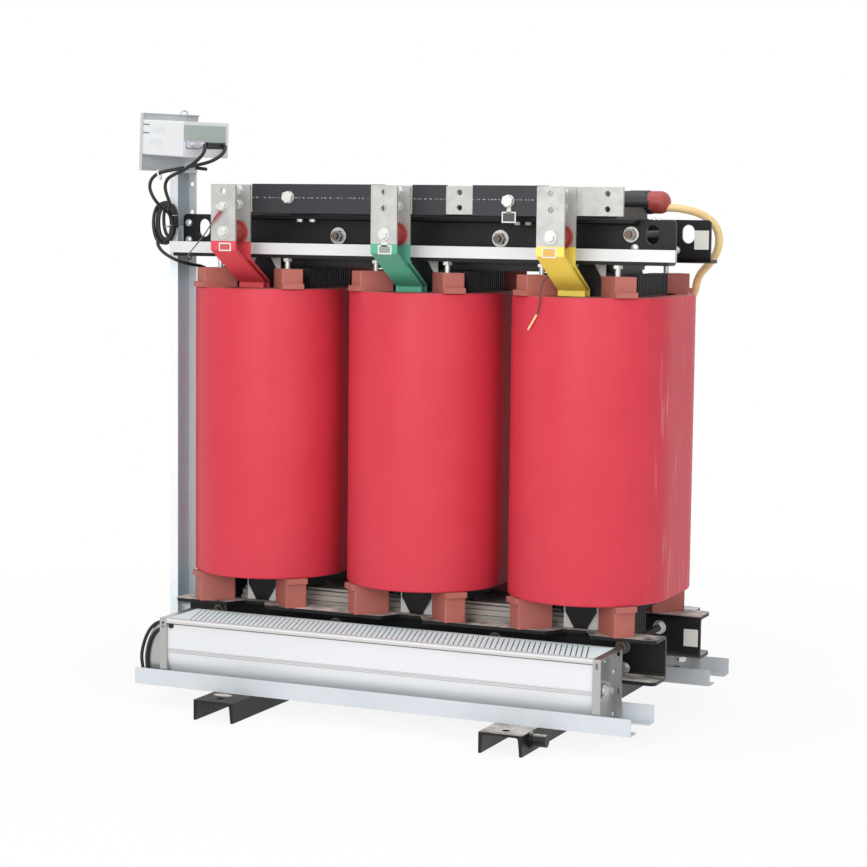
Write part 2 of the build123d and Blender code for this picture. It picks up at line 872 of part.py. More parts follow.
def angle_rail(side, face, inward):
    """Angle rail on the skids: upright leg on one face, flat leg inwards under the fan."""
    other = face + inward * rail_leg
    wall = face + inward * rail_wall
    flat = side_span(
        side, -rail_half_length, rail_half_length, face, other, skid_height, skid_height + rail_wall
    )
    leg = side_span(
        side, -rail_half_length, rail_half_length, face, wall, skid_height, skid_height + rail_leg
    )
    return flat + leg


def fan_rails(side):
    """The pair of angle rails that hold one fan."""
    return [angle_rail(side, rail_outer_face, -1), angle_rail(side, rail_inner_face, 1)]


def fan_casing(side):
    """Fan casing: lipped top, flat front panel, double ridge and quarter-round underside."""
    half = fan_depth / 2
    ridge = fan_ridge_height
    panel = half - fan_panel_inset
    upper = Polyline(
        (-half, 0),
        (-half, fan_height - grille_thickness),
        (half, fan_height - grille_thickness),
        (half, fan_height - fan_lip_height),
        (panel, fan_height - fan_lip_height),
        (panel, ridge),
    )
    sag = ridge * math.sin(math.radians(45))
    under = ThreePointArc((panel, ridge), (panel - ridge + sag, ridge - sag), (panel - ridge, 0))
    floor = Line((panel - ridge, 0), (-half, 0))
    face = make_face([upper, under, floor])
    for i in range(2):
        face += Pos(panel, ridge + i * fan_ridge_spacing) * Circle(fan_ridge_radius)
    trough = Pos(0, fan_height - fan_trough_depth / 2) * Rectangle(
        fan_depth - 2 * fan_trough_wall, fan_trough_depth
    )
    section = face - trough
    start = fan_left if side > 0 else fan_right
    plane = side_plane(side, start, fan_middle, fan_bottom)
    return extrude(plane * section, amount=fan_right - fan_left)


def fan_grille(side):
    """Outlet grille: a thin plate with a row of slanted slots."""
    half = fan_depth / 2
    length = fan_right - fan_left
    plate = Rectangle(length, fan_depth)
    slot_half = half - grille_slot_margin
    count = int((length - 2 * grille_slot_margin - grille_slot_lean) / grille_slot_pitch)
    wide = grille_slot_width / 2
    lean = grille_slot_lean / 2
    outline = [
        (-wide - side * lean, -slot_half),
        (wide - side * lean, -slot_half),
        (wide + side * lean, slot_half),
        (-wide + side * lean, slot_half),
    ]
    slot = make_face(Polyline(*outline, close=True))
    first = -(count - 1) / 2 * grille_slot_pitch
    plate -= [Pos(first + i * grille_slot_pitch, 0) * slot for i in range(count)]
    centre = Pos((fan_left + fan_right) / 2, side * fan_middle, fan_bottom + fan_height - grille_thickness)
    return extrude(centre * plate, amount=grille_thickness)


def fan_end_plate(side, end):
    """Folded stainless end plate with a bearing hub and slotted flanges."""
    inner = fan_right if end > 0 else fan_left
    face = inner + end * end_plate_thickness
    tip = inner + end * end_plate_flange
    half = fan_depth / 2
    y0 = fan_middle - half
    y1 = fan_middle + half
    x_web = sorted((inner, face))
    x_all = sorted((inner, tip))
    plate = side_span(side, *x_web, y0, y1, fan_bottom, fan_top)
    plate += side_span(side, *x_all, y0, y0 + end_plate_thickness, fan_bottom, fan_top)
    plate += side_span(side, *x_all, y1 - end_plate_thickness, y1, fan_bottom, fan_top)
    plate += side_span(side, *x_all, y0, y1, fan_top - end_plate_thickness, fan_top)
    slot = SlotOverall(end_plate_slot_length, end_plate_slot_width, rotation=90)
    slot_x = tip - end * end_plate_slot_inset
    for wall_y, rises in ((y1, outer_slot_rises), (y0, inner_slot_rises)):
        for rise in rises:
            origin = (slot_x, side * wall_y, fan_bottom + rise)
            plane = Plane(origin=origin, x_dir=(1, 0, 0), z_dir=(0, 1, 0))
            plate -= extrude(plane * slot, amount=2 * end_plate_thickness, both=True)
    if end < 0:
        return plate + motor_cover(side, face)
    axis = Plane(
        origin=(face, side * (fan_middle + hub_shift), fan_bottom + hub_height), x_dir=(0, 1, 0), z_dir=(end, 0, 0)
    )
    hub = Cylinder(hub_radius, hub_length, align=(Align.CENTER, Align.CENTER, Align.MIN))
    hub = fillet(hub.faces().sort_by(Axis.Z)[-1].edges(), hub_dome)
    return plate + axis * hub


def motor_cover(side, face):
    """Rounded sheet cover over the motor, outside the left end plate."""
    outline = [
        Line((0, 0), (0, cover_top)),
        Line((0, cover_top), (cover_shoulder, cover_top)),
        ThreePointArc(
            (cover_shoulder, cover_top),
            (cover_bulge_reach, cover_bulge_rise),
            (cover_belly_reach, cover_belly_rise),
        ),
        Line((cover_belly_reach, cover_belly_rise), (cover_foot_reach, 0)),
        Line((cover_foot_reach, 0), (0, 0)),
    ]
    plane = Plane(origin=(face, side * fan_middle, fan_bottom), x_dir=(-1, 0, 0), z_dir=(0, 1, 0))
    return extrude(plane * make_face(outline), amount=cover_half_depth, both=True)


def tube(points, radius):
    """Round cable along straight runs joined by arcs as large as the runs allow."""
    route = [Vector(*point) for point in points]
    radii = []
    for before, here, after in zip(route, route[1:], route[2:]):
        turn = math.radians((here - before).get_angle(after - here))
        shorter = min((here - before).length, (after - here).length)
        radii.append(cable_run_share * shorter / math.tan(turn / 2))
    print("bend radii", [round(bend, 1) for bend in radii])
    line = FilletPolyline(*route, radius=radii)
    plane = Plane(origin=line @ 0, z_dir=line % 0)
    solid = sweep(plane * Circle(radius), path=line)
    print("volume share", round(solid.volume / (math.pi * radius**2 * line.length), 4))
    return solid


def controller_post():
    """Folded channel post at the left end, with lugs that meet the front clamps."""
    profile = Pos(post_flange / 2, post_width / 2) * Rectangle(post_flange, post_width)
    hollow = Pos(post_wall + post_flange / 2, post_width / 2) * Rectangle(
        post_flange, post_width - 2 * post_wall
    )
    post = extrude(Pos(post_left, post_front, post_bottom) * (profile - hollow), amount=post_top - post_bottom)
    cap = span(
        post_left, post_left + post_flange, post_front, post_front + post_width, post_top - post_wall, post_top
    )
    post += cap
    for drop in post_hole_drops:
        rear = post_front + post_width
        hole_x = post_left + post_flange / 2
        post -= rod_along_y(hole_x, post_top - drop, rear - 2 * post_wall, rear + cut_over, post_hole_radius)
    lugs = (
        (bottom_clamp_left, (bottom_clamp_bottom + bottom_clamp_top) / 2),
        (top_clamp_left, (top_clamp_bottom + top_clamp_top) / 2),
    )
    for clamp_left, middle in lugs:
        post += span(
            post_left + post_wall / 2,
            clamp_left + post_lug_overlap,
            -web_inner,
            -web_inner + post_lug_thickness,
            middle - post_lug_height / 2,
            middle + post_lug_height / 2,
        )
    return post


def tray_plane():
    """Tray frame: first axis along the sheet, second up, third towards the case's rear."""
    turn = math.radians(tray_turn)
    lean = math.radians(tray_lean)
    along = (math.cos(turn), math.sin(turn), 0)
    out = (
        math.sin(turn) * math.cos(lean),
        -math.cos(turn) * math.cos(lean),
        -math.sin(lean),
    )
    return Plane(origin=(tray_left_x, tray_left_y, tray_bottom), x_dir=along, z_dir=out)


def corner_box(width, height, depth):
    """Box with its corner on the plane's origin."""
    return Box(width, height, depth, align=(Align.MIN, Align.MIN, Align.MIN))


def controller_tray():
    """Folded sheet tray: back sheet, left, top and bottom edges bent forwards, ring on top."""
    tray = corner_box(tray_width, tray_height, tray_wall)
    tray += corner_box(tray_wall, tray_height, tray_flange)
    tray += Pos(0, tray_height - tray_wall, 0) * corner_box(tray_width, tray_wall, tray_flange)
    tray += corner_box(tray_width, tray_wall, tray_flange)
    ring_plane = Pos(tray_ring_along, tray_height - tray_ring_wire, tray_flange / 2)
    ring = ring_plane * Torus(tray_ring_radius, tray_ring_wire)
    below = Pos(tray_ring_along, tray_height - tray_wall - tray_ring_radius, tray_flange / 2) * Box(
        4 * tray_ring_radius, 2 * tray_ring_radius, tray_flange
    )
    tray += ring - below
    return tray_plane() * tray


def controller_case():
    """Panel-mounted control unit with a connector recess in its rear face."""
    case = corner_box(case_width, case_height, case_depth)
    case = fillet(case.edges().filter_by(Axis.Z), case_rim)
    recess_width = case_width - 2 * case_recess_margin
    recess = Pos(case_recess_margin, case_recess_rise, case_depth - case_recess_depth)
    case -= recess * corner_box(recess_width, case_recess_height, case_recess_depth + cut_over)
    return tray_plane() * Pos(case_inset, case_rise, tray_wall) * case


def controller_plugs():
    """Sensor plug and terminal block that sit in the case's recess."""
    recess = Pos(
        case_inset + case_recess_margin, case_rise + case_recess_rise, tray_wall + case_depth - case_recess_depth
    )
    lift = (case_recess_height - plug_height) / 2
    plug = Pos(lift, lift, 0) * corner_box(plug_width, plug_height, plug_depth)
    terminal_x = case_width - 2 * case_recess_margin - lift - terminal_width
    terminal = Pos(terminal_x, lift, 0) * corner_box(terminal_width, plug_height, case_recess_depth)
    return [tray_plane() * recess * plug, tray_plane() * recess * terminal]


def along_x(x0, x1, y, z, radius):
    """Round bar along X between two places."""
    plane = Plane(origin=(x0, y, z), x_dir=(0, 1, 0), z_dir=(1, 0, 0))
    return plane * Cylinder(radius, x1 - x0, align=(Align.CENTER, Align.CENTER, Align.MIN))


def hv_link():
    """Sleeved round bar of the high-voltage link."""
    return along_x(-link_half_length, link_half_length, link_y, link_z, link_radius)


def hv_link_cap(end):
    """Domed resin cap on one end of the link."""
    x0, x1 = sorted((end * link_half_length, end * (link_half_length + link_cap_length)))
    cap = along_x(x0, x1, link_y, link_z, link_radius)
    dome = cap.faces().sort_by(Axis.X)[-1 if end > 0 else 0].edges()
    cap = fillet(dome, link_radius * link_cap_dome_share)
    if end < 0:
        return cap
    return cap - along_x(x1 - hv_lead_seat, x1 + cut_over, link_y, link_z - hv_lead_drop, hv_lead_radius)


def hv_link_saddles():
    """Saddles that hold the link on the rear top clamp."""
    saddles = []
    for x in link_saddle_x:
        half = link_saddle_width / 2
        block = span(
            x - half, x + half, link_y - link_radius, link_y + link_radius, top_clamp_top, link_z
        )
        saddles.append(block - hv_link())
    return saddles


def fan_cables(side):
    """Two motor cables that run down in front of the motor cover to the rail."""
    face = fan_left - end_plate_thickness
    y = side * (fan_middle + cover_half_depth + fan_cable_radius + fan_cable_gap)
    routes = (fan_cable_outer_route, fan_cable_inner_route)
    return [
        tube([(face - reach, y, fan_bottom + rise) for reach, rise in route], fan_cable_radius) for route in routes
    ]


def hv_lead():
    """High-voltage lead: out of the link's right cap, over the clamp's end, down to the coil."""
    cap_end = link_half_length + link_cap_length
    route = [(cap_end - hv_lead_seat, link_y, link_z - hv_lead_drop)]
    route += [(cap_end + x, link_y + y, link_z + z) for x, y, z in hv_lead_loop]
    boss_x = coil_pitch + hv_boss_x + hv_boss_size
    boss_y = coil_half_depth + hv_boss_reach / 2
    boss_z = coil_top - hv_boss_drop - hv_boss_size / 2
    route += [(boss_x + x, boss_y + y, boss_z + z) for x, y, z in hv_lead_tail]
    return tube(route, hv_lead_radius)


def above_bars(route):
    """Route given from the bars' tops, as places."""
    return [(x, y, bar_top + z) for x, y, z in route]


def plug_exit(along, out):
    """First two places of a cable that leaves the case's rear squarely."""
    up = case_rise + case_recess_rise + case_recess_height / 2
    frame = tray_plane()
    return [frame.from_local_coords((along, up, out + step)) for step in (0, plug_lead_out)]


def cable_hank():
    """Closed solid of the spare cable's coil, hung on the front of the post."""
    back = post_front
    plane = Plane(origin=(hank_x, back, hank_middle), x_dir=(1, 0, 0), z_dir=(0, -1, 0))
    return extrude(plane * Ellipse(hank_half_width, hank_half_height), amount=hank_thickness)


def control_cable():
    """Cable from the terminal block to the coil of spare cable, and on to the left winding."""
    hank_front = post_front - hank_thickness
    lift = (case_recess_height - plug_height) / 2
    along = case_inset + case_width - case_recess_margin - lift - terminal_lead_inset
    route = plug_exit(along, tray_wall + case_depth) + above_bars(control_cable_route)
    last = route[-1]
    upper = tube(route + [(last[0], hank_front, last[2])], cable_radius)
    route = above_bars(tail_route)
    first, last = route[0], route[-1]
    lower = tube([(first[0], hank_front, first[2])] + route + [(last[0], last[1], coil_top)], cable_radius)
    return [upper, lower]


def sensor_cable():
    """Cable from the sensor plug to the coil of spare cable."""
    hank_front = post_front - hank_thickness
    lift = (case_recess_height - plug_height) / 2
    along = case_inset + case_recess_margin + lift + plug_width - plug_lead_inset
    out = tray_wall + case_depth - case_recess_depth + plug_depth
    route = plug_exit(along, out) + above_bars(sensor_cable_route)
    last = route[-1]
    return tube(route + [(last[0], hank_front, last[2])], cable_radius)


def sense_lead():
    """Thin lead from the left phase bar, in front of the strip, to the clamp's lower flange."""
    x, z = sense_lead_start
    route = [(x, -phase_bar_front, bar_top + z)] + above_bars(sense_lead_route)
    return tube(route + [(route[-1][0], route[-1][1], top_clamp_bottom)], sense_lead_radius)


def sensor_wire():
    """Thin wire from beside the right phase bar, over the coil's rim, with a probe at its end."""
    y, rise = sensor_wire_start
    start = (coil_pitch + bar_shifts[-1] - bar_width / 2, y, coil_top + rise)
    route = [start] + [(coil_pitch + x, y, coil_top + z) for x, y, z in sensor_wire_route]
    wire = tube(route, sense_lead_radius)
    x, y, z = probe_tip
    run = Vector(coil_pitch + x, y, coil_top + z) - Vector(*route[-1])
    axis = Plane(origin=route[-1], z_dir=run)
    return wire + axis * Cylinder(probe_radius, run.length, align=(Align.CENTER, Align.CENTER, Align.MIN))


def build():
    os.makedirs("parts", exist_ok=True)
    save("skid_left", [skid(-1)])
    save("skid_right", [skid(1)])
    save("clamp_feet", clamp_feet())
    save("bottom_clamp_front", [bottom_clamp(-1)])
    save("bottom_clamp_rear", [bottom_clamp(1)])
    save("top_clamp_front", [top_clamp(-1)])
    save("top_clamp_rear", [top_clamp(1)])
    save("core_bottom_yoke", [core_yoke(bottom_yoke_middle)])
    save("core_top_yoke", [core_yoke(top_yoke_middle)])
    save("core_limbs", [core_limb(x) for x in coil_xs])
    save("lv_coils", [lv_coil(x) for x in coil_xs])
    for name, x in zip(coil_names, coil_xs):
        save(f"hv_coil_{name}", [hv_coil(x)])
    save("hv_tap_studs", [stud for x in coil_xs for stud in tap_studs(x)])
    save("tie_plates", [tie_plate(x, side) for x in coil_xs for side in (-1, 1)])
    boards = [limb_board(x, side) for x in coil_xs for side in (-1, 1)]
    save("insulating_boards", boards + yoke_packers(-1) + yoke_packers(1))
    rods = [clamp_rod(x, bottom_end_rod_z) for x in (-end_rod_x, end_rod_x)]
    rods += [clamp_rod(x, top_end_rod_z) for x in (-end_rod_x, end_rod_x)]
    for middle in (bottom_yoke_middle, top_yoke_middle):
        rods += [clamp_rod(x, middle) for x in (-yoke_rod_x, yoke_rod_x)]
    save("clamp_rods", rods)
    save("bottom_support_blocks", blocks(bottom_block(), bottom_clamp_top, bottom_block_turn))
    save("top_support_blocks", blocks(top_block(), coil_top, top_block_turn))
    save("press_bolts", press_bolts())
    save("neutral_leads", [neutral_lead(x + shift) for x, shift in zip(coil_xs, bar_shifts)])
    insulators = []
    for name, x, shift in zip(coil_names, coil_xs, bar_shifts):
        save(f"phase_bar_{name}", [phase_bar(x + shift)])
        insulators.append(
            standoff(x + shift, standoff_z, -phase_bar_front + bar_thickness, -neutral_lead_front)
        )
    save("neutral_bar", [neutral_bar()])
    save("neutral_sleeves", neutral_sleeves())
    bar_back = -neutral_lead_front + bar_thickness + neutral_bar_thickness + sleeve_wall
    middle = bar_top - neutral_bar_height / 2
    insulators += [standoff(x, middle, bar_back, -top_flange_tip) for x in bracket_x]
    save("standoff_insulators", insulators)
    save("neutral_brackets", neutral_brackets())
    save("edge_strip", [edge_strip()])
    for name, side in (("front", -1), ("rear", 1)):
        save(f"fan_rails_{name}", fan_rails(side))
        save(f"fan_casing_{name}", [fan_casing(side)])
        save(f"fan_grille_{name}", [fan_grille(side)])
        save(f"fan_end_plates_{name}", [fan_end_plate(side, -1), fan_end_plate(side, 1)])
    save("controller_post", [controller_post()])
    save("controller_tray", [controller_tray()])
    save("controller_case", [controller_case()])
    save("controller_plugs", controller_plugs())
    save("hv_link_bar", [hv_link()])
    save("hv_link_caps", [hv_link_cap(-1), hv_link_cap(1)])
    save("hv_link_saddles", hv_link_saddles())
    save("hv_lead", [hv_lead()])
    save("fan_cables", fan_cables(-1) + fan_cables(1))
    save("control_cable", control_cable())
    save("sensor_cable", [sensor_cable()])
    save("control_cable_hank", [cable_hank()])
    save("sense_lead", [sense_lead()])
    save("sensor_wire", [sensor_wire()])


build()
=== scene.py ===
import math

import bmesh
import bpy
import numpy as np
from mathutils import Matrix, Vector


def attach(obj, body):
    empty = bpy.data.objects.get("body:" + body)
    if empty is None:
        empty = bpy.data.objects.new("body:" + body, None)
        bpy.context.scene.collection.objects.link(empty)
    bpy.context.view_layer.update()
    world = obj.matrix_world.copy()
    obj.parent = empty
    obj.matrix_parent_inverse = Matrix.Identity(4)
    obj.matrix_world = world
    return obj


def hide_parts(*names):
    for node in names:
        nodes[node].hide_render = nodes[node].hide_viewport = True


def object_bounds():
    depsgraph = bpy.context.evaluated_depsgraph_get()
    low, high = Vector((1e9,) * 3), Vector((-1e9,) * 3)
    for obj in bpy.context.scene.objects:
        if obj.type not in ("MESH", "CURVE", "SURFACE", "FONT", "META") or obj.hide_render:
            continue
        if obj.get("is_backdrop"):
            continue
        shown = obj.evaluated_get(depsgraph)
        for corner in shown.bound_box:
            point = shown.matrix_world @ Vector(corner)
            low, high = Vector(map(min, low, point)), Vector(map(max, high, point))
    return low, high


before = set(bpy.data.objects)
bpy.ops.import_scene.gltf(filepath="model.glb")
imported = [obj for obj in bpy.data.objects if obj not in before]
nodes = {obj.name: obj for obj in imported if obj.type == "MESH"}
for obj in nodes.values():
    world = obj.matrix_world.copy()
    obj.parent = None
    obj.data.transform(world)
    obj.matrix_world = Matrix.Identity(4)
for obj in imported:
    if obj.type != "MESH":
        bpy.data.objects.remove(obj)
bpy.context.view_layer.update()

# Studio: a long-lens camera a little above the top of the coils and right of the front, a
# pale floor that takes a soft shadow, and three broad lamps in front, at the right and above.
scene = bpy.context.scene
scene.view_settings.view_transform = "Standard"

azimuth, pitch, roll = (math.radians(a) for a in (23.73, 5.705, 0.657))
forward = Vector((
    -math.sin(azimuth) * math.cos(pitch), math.cos(azimuth) * math.cos(pitch), -math.sin(pitch),
))
level = Vector((math.cos(azimuth), math.sin(azimuth), 0.0))
above = level.cross(forward)
right = level * math.cos(roll) + above * math.sin(roll)
upward = above * math.cos(roll) - level * math.sin(roll)
camera = bpy.data.objects.new("camera", bpy.data.cameras.new("camera"))
camera.data.sensor_width = 36.0
camera.data.lens = 93.15
camera.data.clip_end = 100.0
pose = Matrix((right, upward, -forward)).transposed().to_4x4()
pose.translation = Vector((2.11375, -4.7845, 1.1493))
camera.matrix_world = pose
scene.collection.objects.link(camera)
scene.camera = camera


def linear(code):
    """sRGB hex code to linear colour with full alpha."""
    shares = [int(code[i : i + 2], 16) / 255 for i in (1, 3, 5)]
    return tuple(s / 12.92 if s <= 0.04045 else ((s + 0.055) / 1.055) ** 2.4 for s in shares) + (1.0,)


def node(tree, kind, settings=None, **sockets):
    """Adds a node, sets its attributes, and sets or links its sockets by name, or by number
    where the key is an underscore and a number."""
    made = tree.nodes.new(kind)
    for key, value in (settings or {}).items():
        setattr(made, key, value)
    for key, value in sockets.items():
        socket = made.inputs[int(key[1:]) if key[0] == "_" else key.replace("_", " ")]
        if isinstance(value, bpy.types.NodeSocket):
            tree.links.new(value, socket)
        else:
            socket.default_value = value
    return made


def new_material(name):
    """Empty material with a principled shader on its output."""
    made = bpy.data.materials.new(name)
    made.use_nodes = True
    tree = made.node_tree
    tree.nodes.clear()
    shader = node(tree, "ShaderNodeBsdfPrincipled")
    node(tree, "ShaderNodeOutputMaterial", Surface=shader.outputs[0])
    return made, tree, shader


# The backdrop is white to the eye and in reflections, and lights the object more weakly.
white, either, times = (1.0, 1.0, 1.0, 1.0), {"operation": "MAXIMUM"}, {"operation": "MULTIPLY"}
world = bpy.data.worlds.new("studio")
scene.world = world
world.use_nodes = True
tree = world.node_tree
tree.nodes.clear()
path = node(tree, "ShaderNodeLightPath").outputs
seen = node(tree, "ShaderNodeMath", either, _0=path["Is Camera Ray"], _1=path["Is Glossy Ray"]).outputs[0]
seen = node(tree, "ShaderNodeMath", either, _0=seen, _1=path["Is Transmission Ray"]).outputs[0]
strength = node(tree, "ShaderNodeMapRange", Value=seen, To_Min=0.56, To_Max=1.0).outputs[0]
sky = node(tree, "ShaderNodeBackground", Color=white, Strength=strength)
node(tree, "ShaderNodeOutputWorld", Surface=sky.outputs[0])

# The floor is matt and pale, fades into the backdrop between 0.9 and 2.2 m from the middle,
# and keeps a share of its own shading so that the object's shadow shows.
floor_paint, tree, shader = new_material("pale_floor")
shader.inputs["Base Color"].default_value = linear("#F6F6F5")
shader.inputs["Roughness"].default_value = 0.9
path = node(tree, "ShaderNodeLightPath").outputs
seen = node(tree, "ShaderNodeMath", either, _0=path["Is Camera Ray"], _1=path["Is Glossy Ray"]).outputs[0]
place = node(tree, "ShaderNodeTexCoord").outputs["Object"]
away = node(tree, "ShaderNodeVectorMath", {"operation": "LENGTH"}, _0=place).outputs["Value"]
fade = node(
    tree, "ShaderNodeMapRange", Value=away, From_Min=0.9, From_Max=2.2, To_Min=0.88, To_Max=1.0
).outputs[0]
lift = node(tree, "ShaderNodeMath", times, _0=seen, _1=fade).outputs[0]
glow = node(tree, "ShaderNodeEmission", Color=white, Strength=1.0)
mixed = node(tree, "ShaderNodeMixShader", Fac=lift, _1=shader.outputs[0], _2=glow.outputs[0])
tree.links.new(mixed.outputs[0], tree.nodes["Material Output"].inputs["Surface"])
floor_mesh = bpy.data.meshes.new("floor")
floor_mesh.from_pydata([(-20, -20, 0), (20, -20, 0), (20, 20, 0), (-20, 20, 0)], [], [(0, 1, 2, 3)])
floor = bpy.data.objects.new("floor", floor_mesh)
floor_mesh.materials.append(floor_paint)
scene.collection.objects.link(floor)
floor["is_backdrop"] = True

lamp_aim = Vector((0.0, 0.0, 0.6))
for name, place, size, watts in (
    ("key", (0.2, -6.5, 2.5), 3.2, 165.0),
    ("fill", (4.4, -5.0, 2.4), 3.0, 72.0),
    ("top", (0.0, -0.6, 4.2), 3.6, 62.0),
):
    lamp = bpy.data.lights.new(name, "AREA")
    lamp.size = size
    lamp.energy = watts
    holder = bpy.data.objects.new(name, lamp)
    holder.location = place
    holder.rotation_euler = (lamp_aim - Vector(place)).to_track_quat("-Z", "Y").to_euler()
    scene.collection.objects.link(holder)

# Skids, feet and clamps: hot-rolled and pressed steel sections, brush-painted black. Workshop
# dust lies on the faces that look up, most on the right skid and the lower clamps, and the
# left skid's front end is rubbed down to its primer.
rgba, times_plus = {"data_type": "RGBA"}, {"operation": "MULTIPLY_ADD"}


def black_paint(name, colour, dust_colour, dust, wear_and_sheen=None):
    """Black enamel on steel: gloss that varies in clouds of about 60 mm, orange peel drawn at
    2.4 mm so that it shows, dust where a face looks up, and where a place is given, paint
    rubbed down to pale primer in a ragged oval there."""
    made, tree, shader = new_material(name)
    place = node(tree, "ShaderNodeTexCoord").outputs["Object"]
    cloud = node(
        tree, "ShaderNodeTexNoise", Vector=place, Scale=16.0, Detail=6.0, Roughness=0.65
    ).outputs["Fac"]
    normal = node(tree, "ShaderNodeNewGeometry").outputs["Normal"]
    up = node(tree, "ShaderNodeSeparateXYZ", Vector=normal).outputs["Z"]
    flat = node(tree, "ShaderNodeMapRange", Value=up, From_Min=0.75, From_Max=0.98).outputs[0]
    patch = node(
        tree, "ShaderNodeMapRange", Value=cloud, From_Min=0.30, From_Max=0.60, To_Max=dust
    ).outputs[0]
    share = node(tree, "ShaderNodeMath", times, _0=flat, _1=patch).outputs[0]
    tint = node(
        tree, "ShaderNodeMix", rgba, Factor=share, _6=linear(colour), _7=linear(dust_colour)
    ).outputs[2]
    if wear_and_sheen:
        # The oval's half axes are about 25, 13 and 33 mm.
        off = node(tree, "ShaderNodeVectorMath", {"operation": "SUBTRACT"}, _0=place, _1=wear_and_sheen).outputs[0]
        oval = node(tree, "ShaderNodeVectorMath", times, _0=off, _1=(40.0, 75.0, 30.0)).outputs[0]
        reach = node(tree, "ShaderNodeVectorMath", {"operation": "LENGTH"}, _0=oval).outputs["Value"]
        ragged = node(tree, "ShaderNodeMath", times_plus, _0=cloud, _1=1.6, _2=reach).outputs[0]
        rubbed = node(
            tree, "ShaderNodeMapRange", Value=ragged, From_Min=1.75, From_Max=1.55, To_Max=0.85
        ).outputs[0]
        tint = node(tree, "ShaderNodeMix", rgba, Factor=rubbed, _6=tint, _7=linear("#D8D2C4")).outputs[2]
    tree.links.new(tint, shader.inputs["Base Color"])
    rough = node(tree, "ShaderNodeMapRange", Value=cloud, To_Min=0.32, To_Max=0.55).outputs[0]
    dull = node(tree, "ShaderNodeMath", times_plus, _0=share, _1=0.4, _2=rough).outputs[0]
    tree.links.new(dull, shader.inputs["Roughness"])
    shader.inputs["Specular IOR Level"].default_value = 0.3
    peel = node(tree, "ShaderNodeTexNoise", Vector=place, Scale=420.0, Detail=2.0).outputs["Fac"]
    bump = node(tree, "ShaderNodeBump", Height=peel, Strength=0.12, Distance=0.0006).outputs[0]
    tree.links.new(bump, shader.inputs["Normal"])
    return made


def dress(material, *names):
    """Gives CAD nodes a finished material."""
    for name in names:
        mesh = nodes[name].data
        mesh.materials.clear()
        mesh.materials.append(material)


rubbed_end = (-0.334, -0.386, 0.046)
dress(black_paint("brushed_black_enamel", "#161617", "#56534E", 0.6, rubbed_end), "skid_left")
dress(black_paint("dusty_black_enamel", "#161617", "#CDC8C2", 0.95), "skid_right")
clamp_paint = black_paint("black_enamel", "#0F1013", "#A29A90", 0.8)
lower_paint = black_paint("dusted_black_enamel", "#0F1013", "#E4E0D8", 0.9)
dress(lower_paint, "bottom_clamp_front", "bottom_clamp_rear")
dress(clamp_paint, "clamp_feet", "top_clamp_front", "top_clamp_rear", "tie_plates", "neutral_brackets")

# Labels: two bare squares of thin white paper on the rear clamps. They are cut with slightly
# round corners and stuck flat on the front of the webs, near their right ends.
along, back, upright = (1, 0, 0), (0, 1, 0), (0, 0, 1)
middle_limb = 26.25


def spot(x, y, z):
    """Place in metres from millimetres along the core, from the middle limb, back and up."""
    return np.array([x + middle_limb, y, z]) / 1000


def grid_faces(rows, columns, wrap_rows, wrap_columns):
    """Quads of a grid of points, joined round on the directions that wrap."""
    r = np.arange(rows if wrap_rows else rows - 1)
    c = np.arange(columns if wrap_columns else columns - 1)
    r, c = np.meshgrid(r, c, indexing="ij")
    r1, c1 = (r + 1) % rows, (c + 1) % columns
    quads = np.stack([r * columns + c, r1 * columns + c, r1 * columns + c1, r * columns + c1], axis=-1)
    return quads.reshape(-1, 4).tolist()


def piece(name, surfaces, material, sharp=35.0):
    """One finished object from surfaces of (points, faces): closed at its poles, faces
    outwards, smooth but for sharp edges."""
    points, faces, start = [], [], 0
    for spots, corners in surfaces:
        spots = np.asarray(spots, float).reshape(-1, 3)
        points.append(spots)
        faces += [[index + start for index in face] for face in corners]
        start += len(spots)
    mesh = bpy.data.meshes.new(name)
    mesh.from_pydata(np.vstack(points).tolist(), [], faces)
    shape = bmesh.new()
    shape.from_mesh(mesh)
    bmesh.ops.remove_doubles(shape, verts=shape.verts, dist=1e-6)
    bmesh.ops.recalc_face_normals(shape, faces=shape.faces)
    shape.to_mesh(mesh)
    shape.free()
    mesh.shade_smooth()
    mesh.set_sharp_from_angle(angle=math.radians(sharp))
    mesh.materials.append(material)
    made = bpy.data.objects.new(name, mesh)
    scene.collection.objects.link(made)
    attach(made, "root")
    return made


def rounded(corners, radius, steps=5):
    """Closed outline with each corner replaced by a curve that starts and ends a radius away
    from it: the two ends and the corner, blended by the squares of the share gone."""
    corners = np.asarray(corners, float)
    before, after = np.roll(corners, 1, 0), np.roll(corners, -1, 0)
    into = (before - corners) / np.linalg.norm(before - corners, axis=1)[:, None]
    out = (after - corners) / np.linalg.norm(after - corners, axis=1)[:, None]
    share = np.linspace(0, 1, steps)[None, :, None]
    start, end = (corners + into * radius)[:, None], (corners + out * radius)[:, None]
    arc = (1 - share) ** 2 * start + 2 * share * (1 - share) * corners[:, None] + share**2 * end
    return arc.reshape(-1, 2)


def plate(outline, origin, across, up, thickness):
    """Flat outline in millimetres on the plane of two axes through the origin, raised by a
    thickness in millimetres along their cross product, with its two faces as one face each."""
    across, up = np.asarray(across, float), np.asarray(up, float)
    flat = origin + (outline[:, :1] * across + outline[:, 1:] * up) / 1000
    raised = flat + np.cross(across, up) * thickness / 1000
    count = len(flat)
    faces = grid_faces(2, count, False, True) + [list(range(count)), list(range(count, 2 * count))]
    return np.stack([flat, raised]), faces


def oblong(width, height, radius):
    """Outline of a rectangle with round corners, about its middle, in millimetres."""
    half = np.array([width, height]) / 2
    return rounded(np.array([(-1, -1), (1, -1), (1, 1), (-1, 1)]) * half, radius)


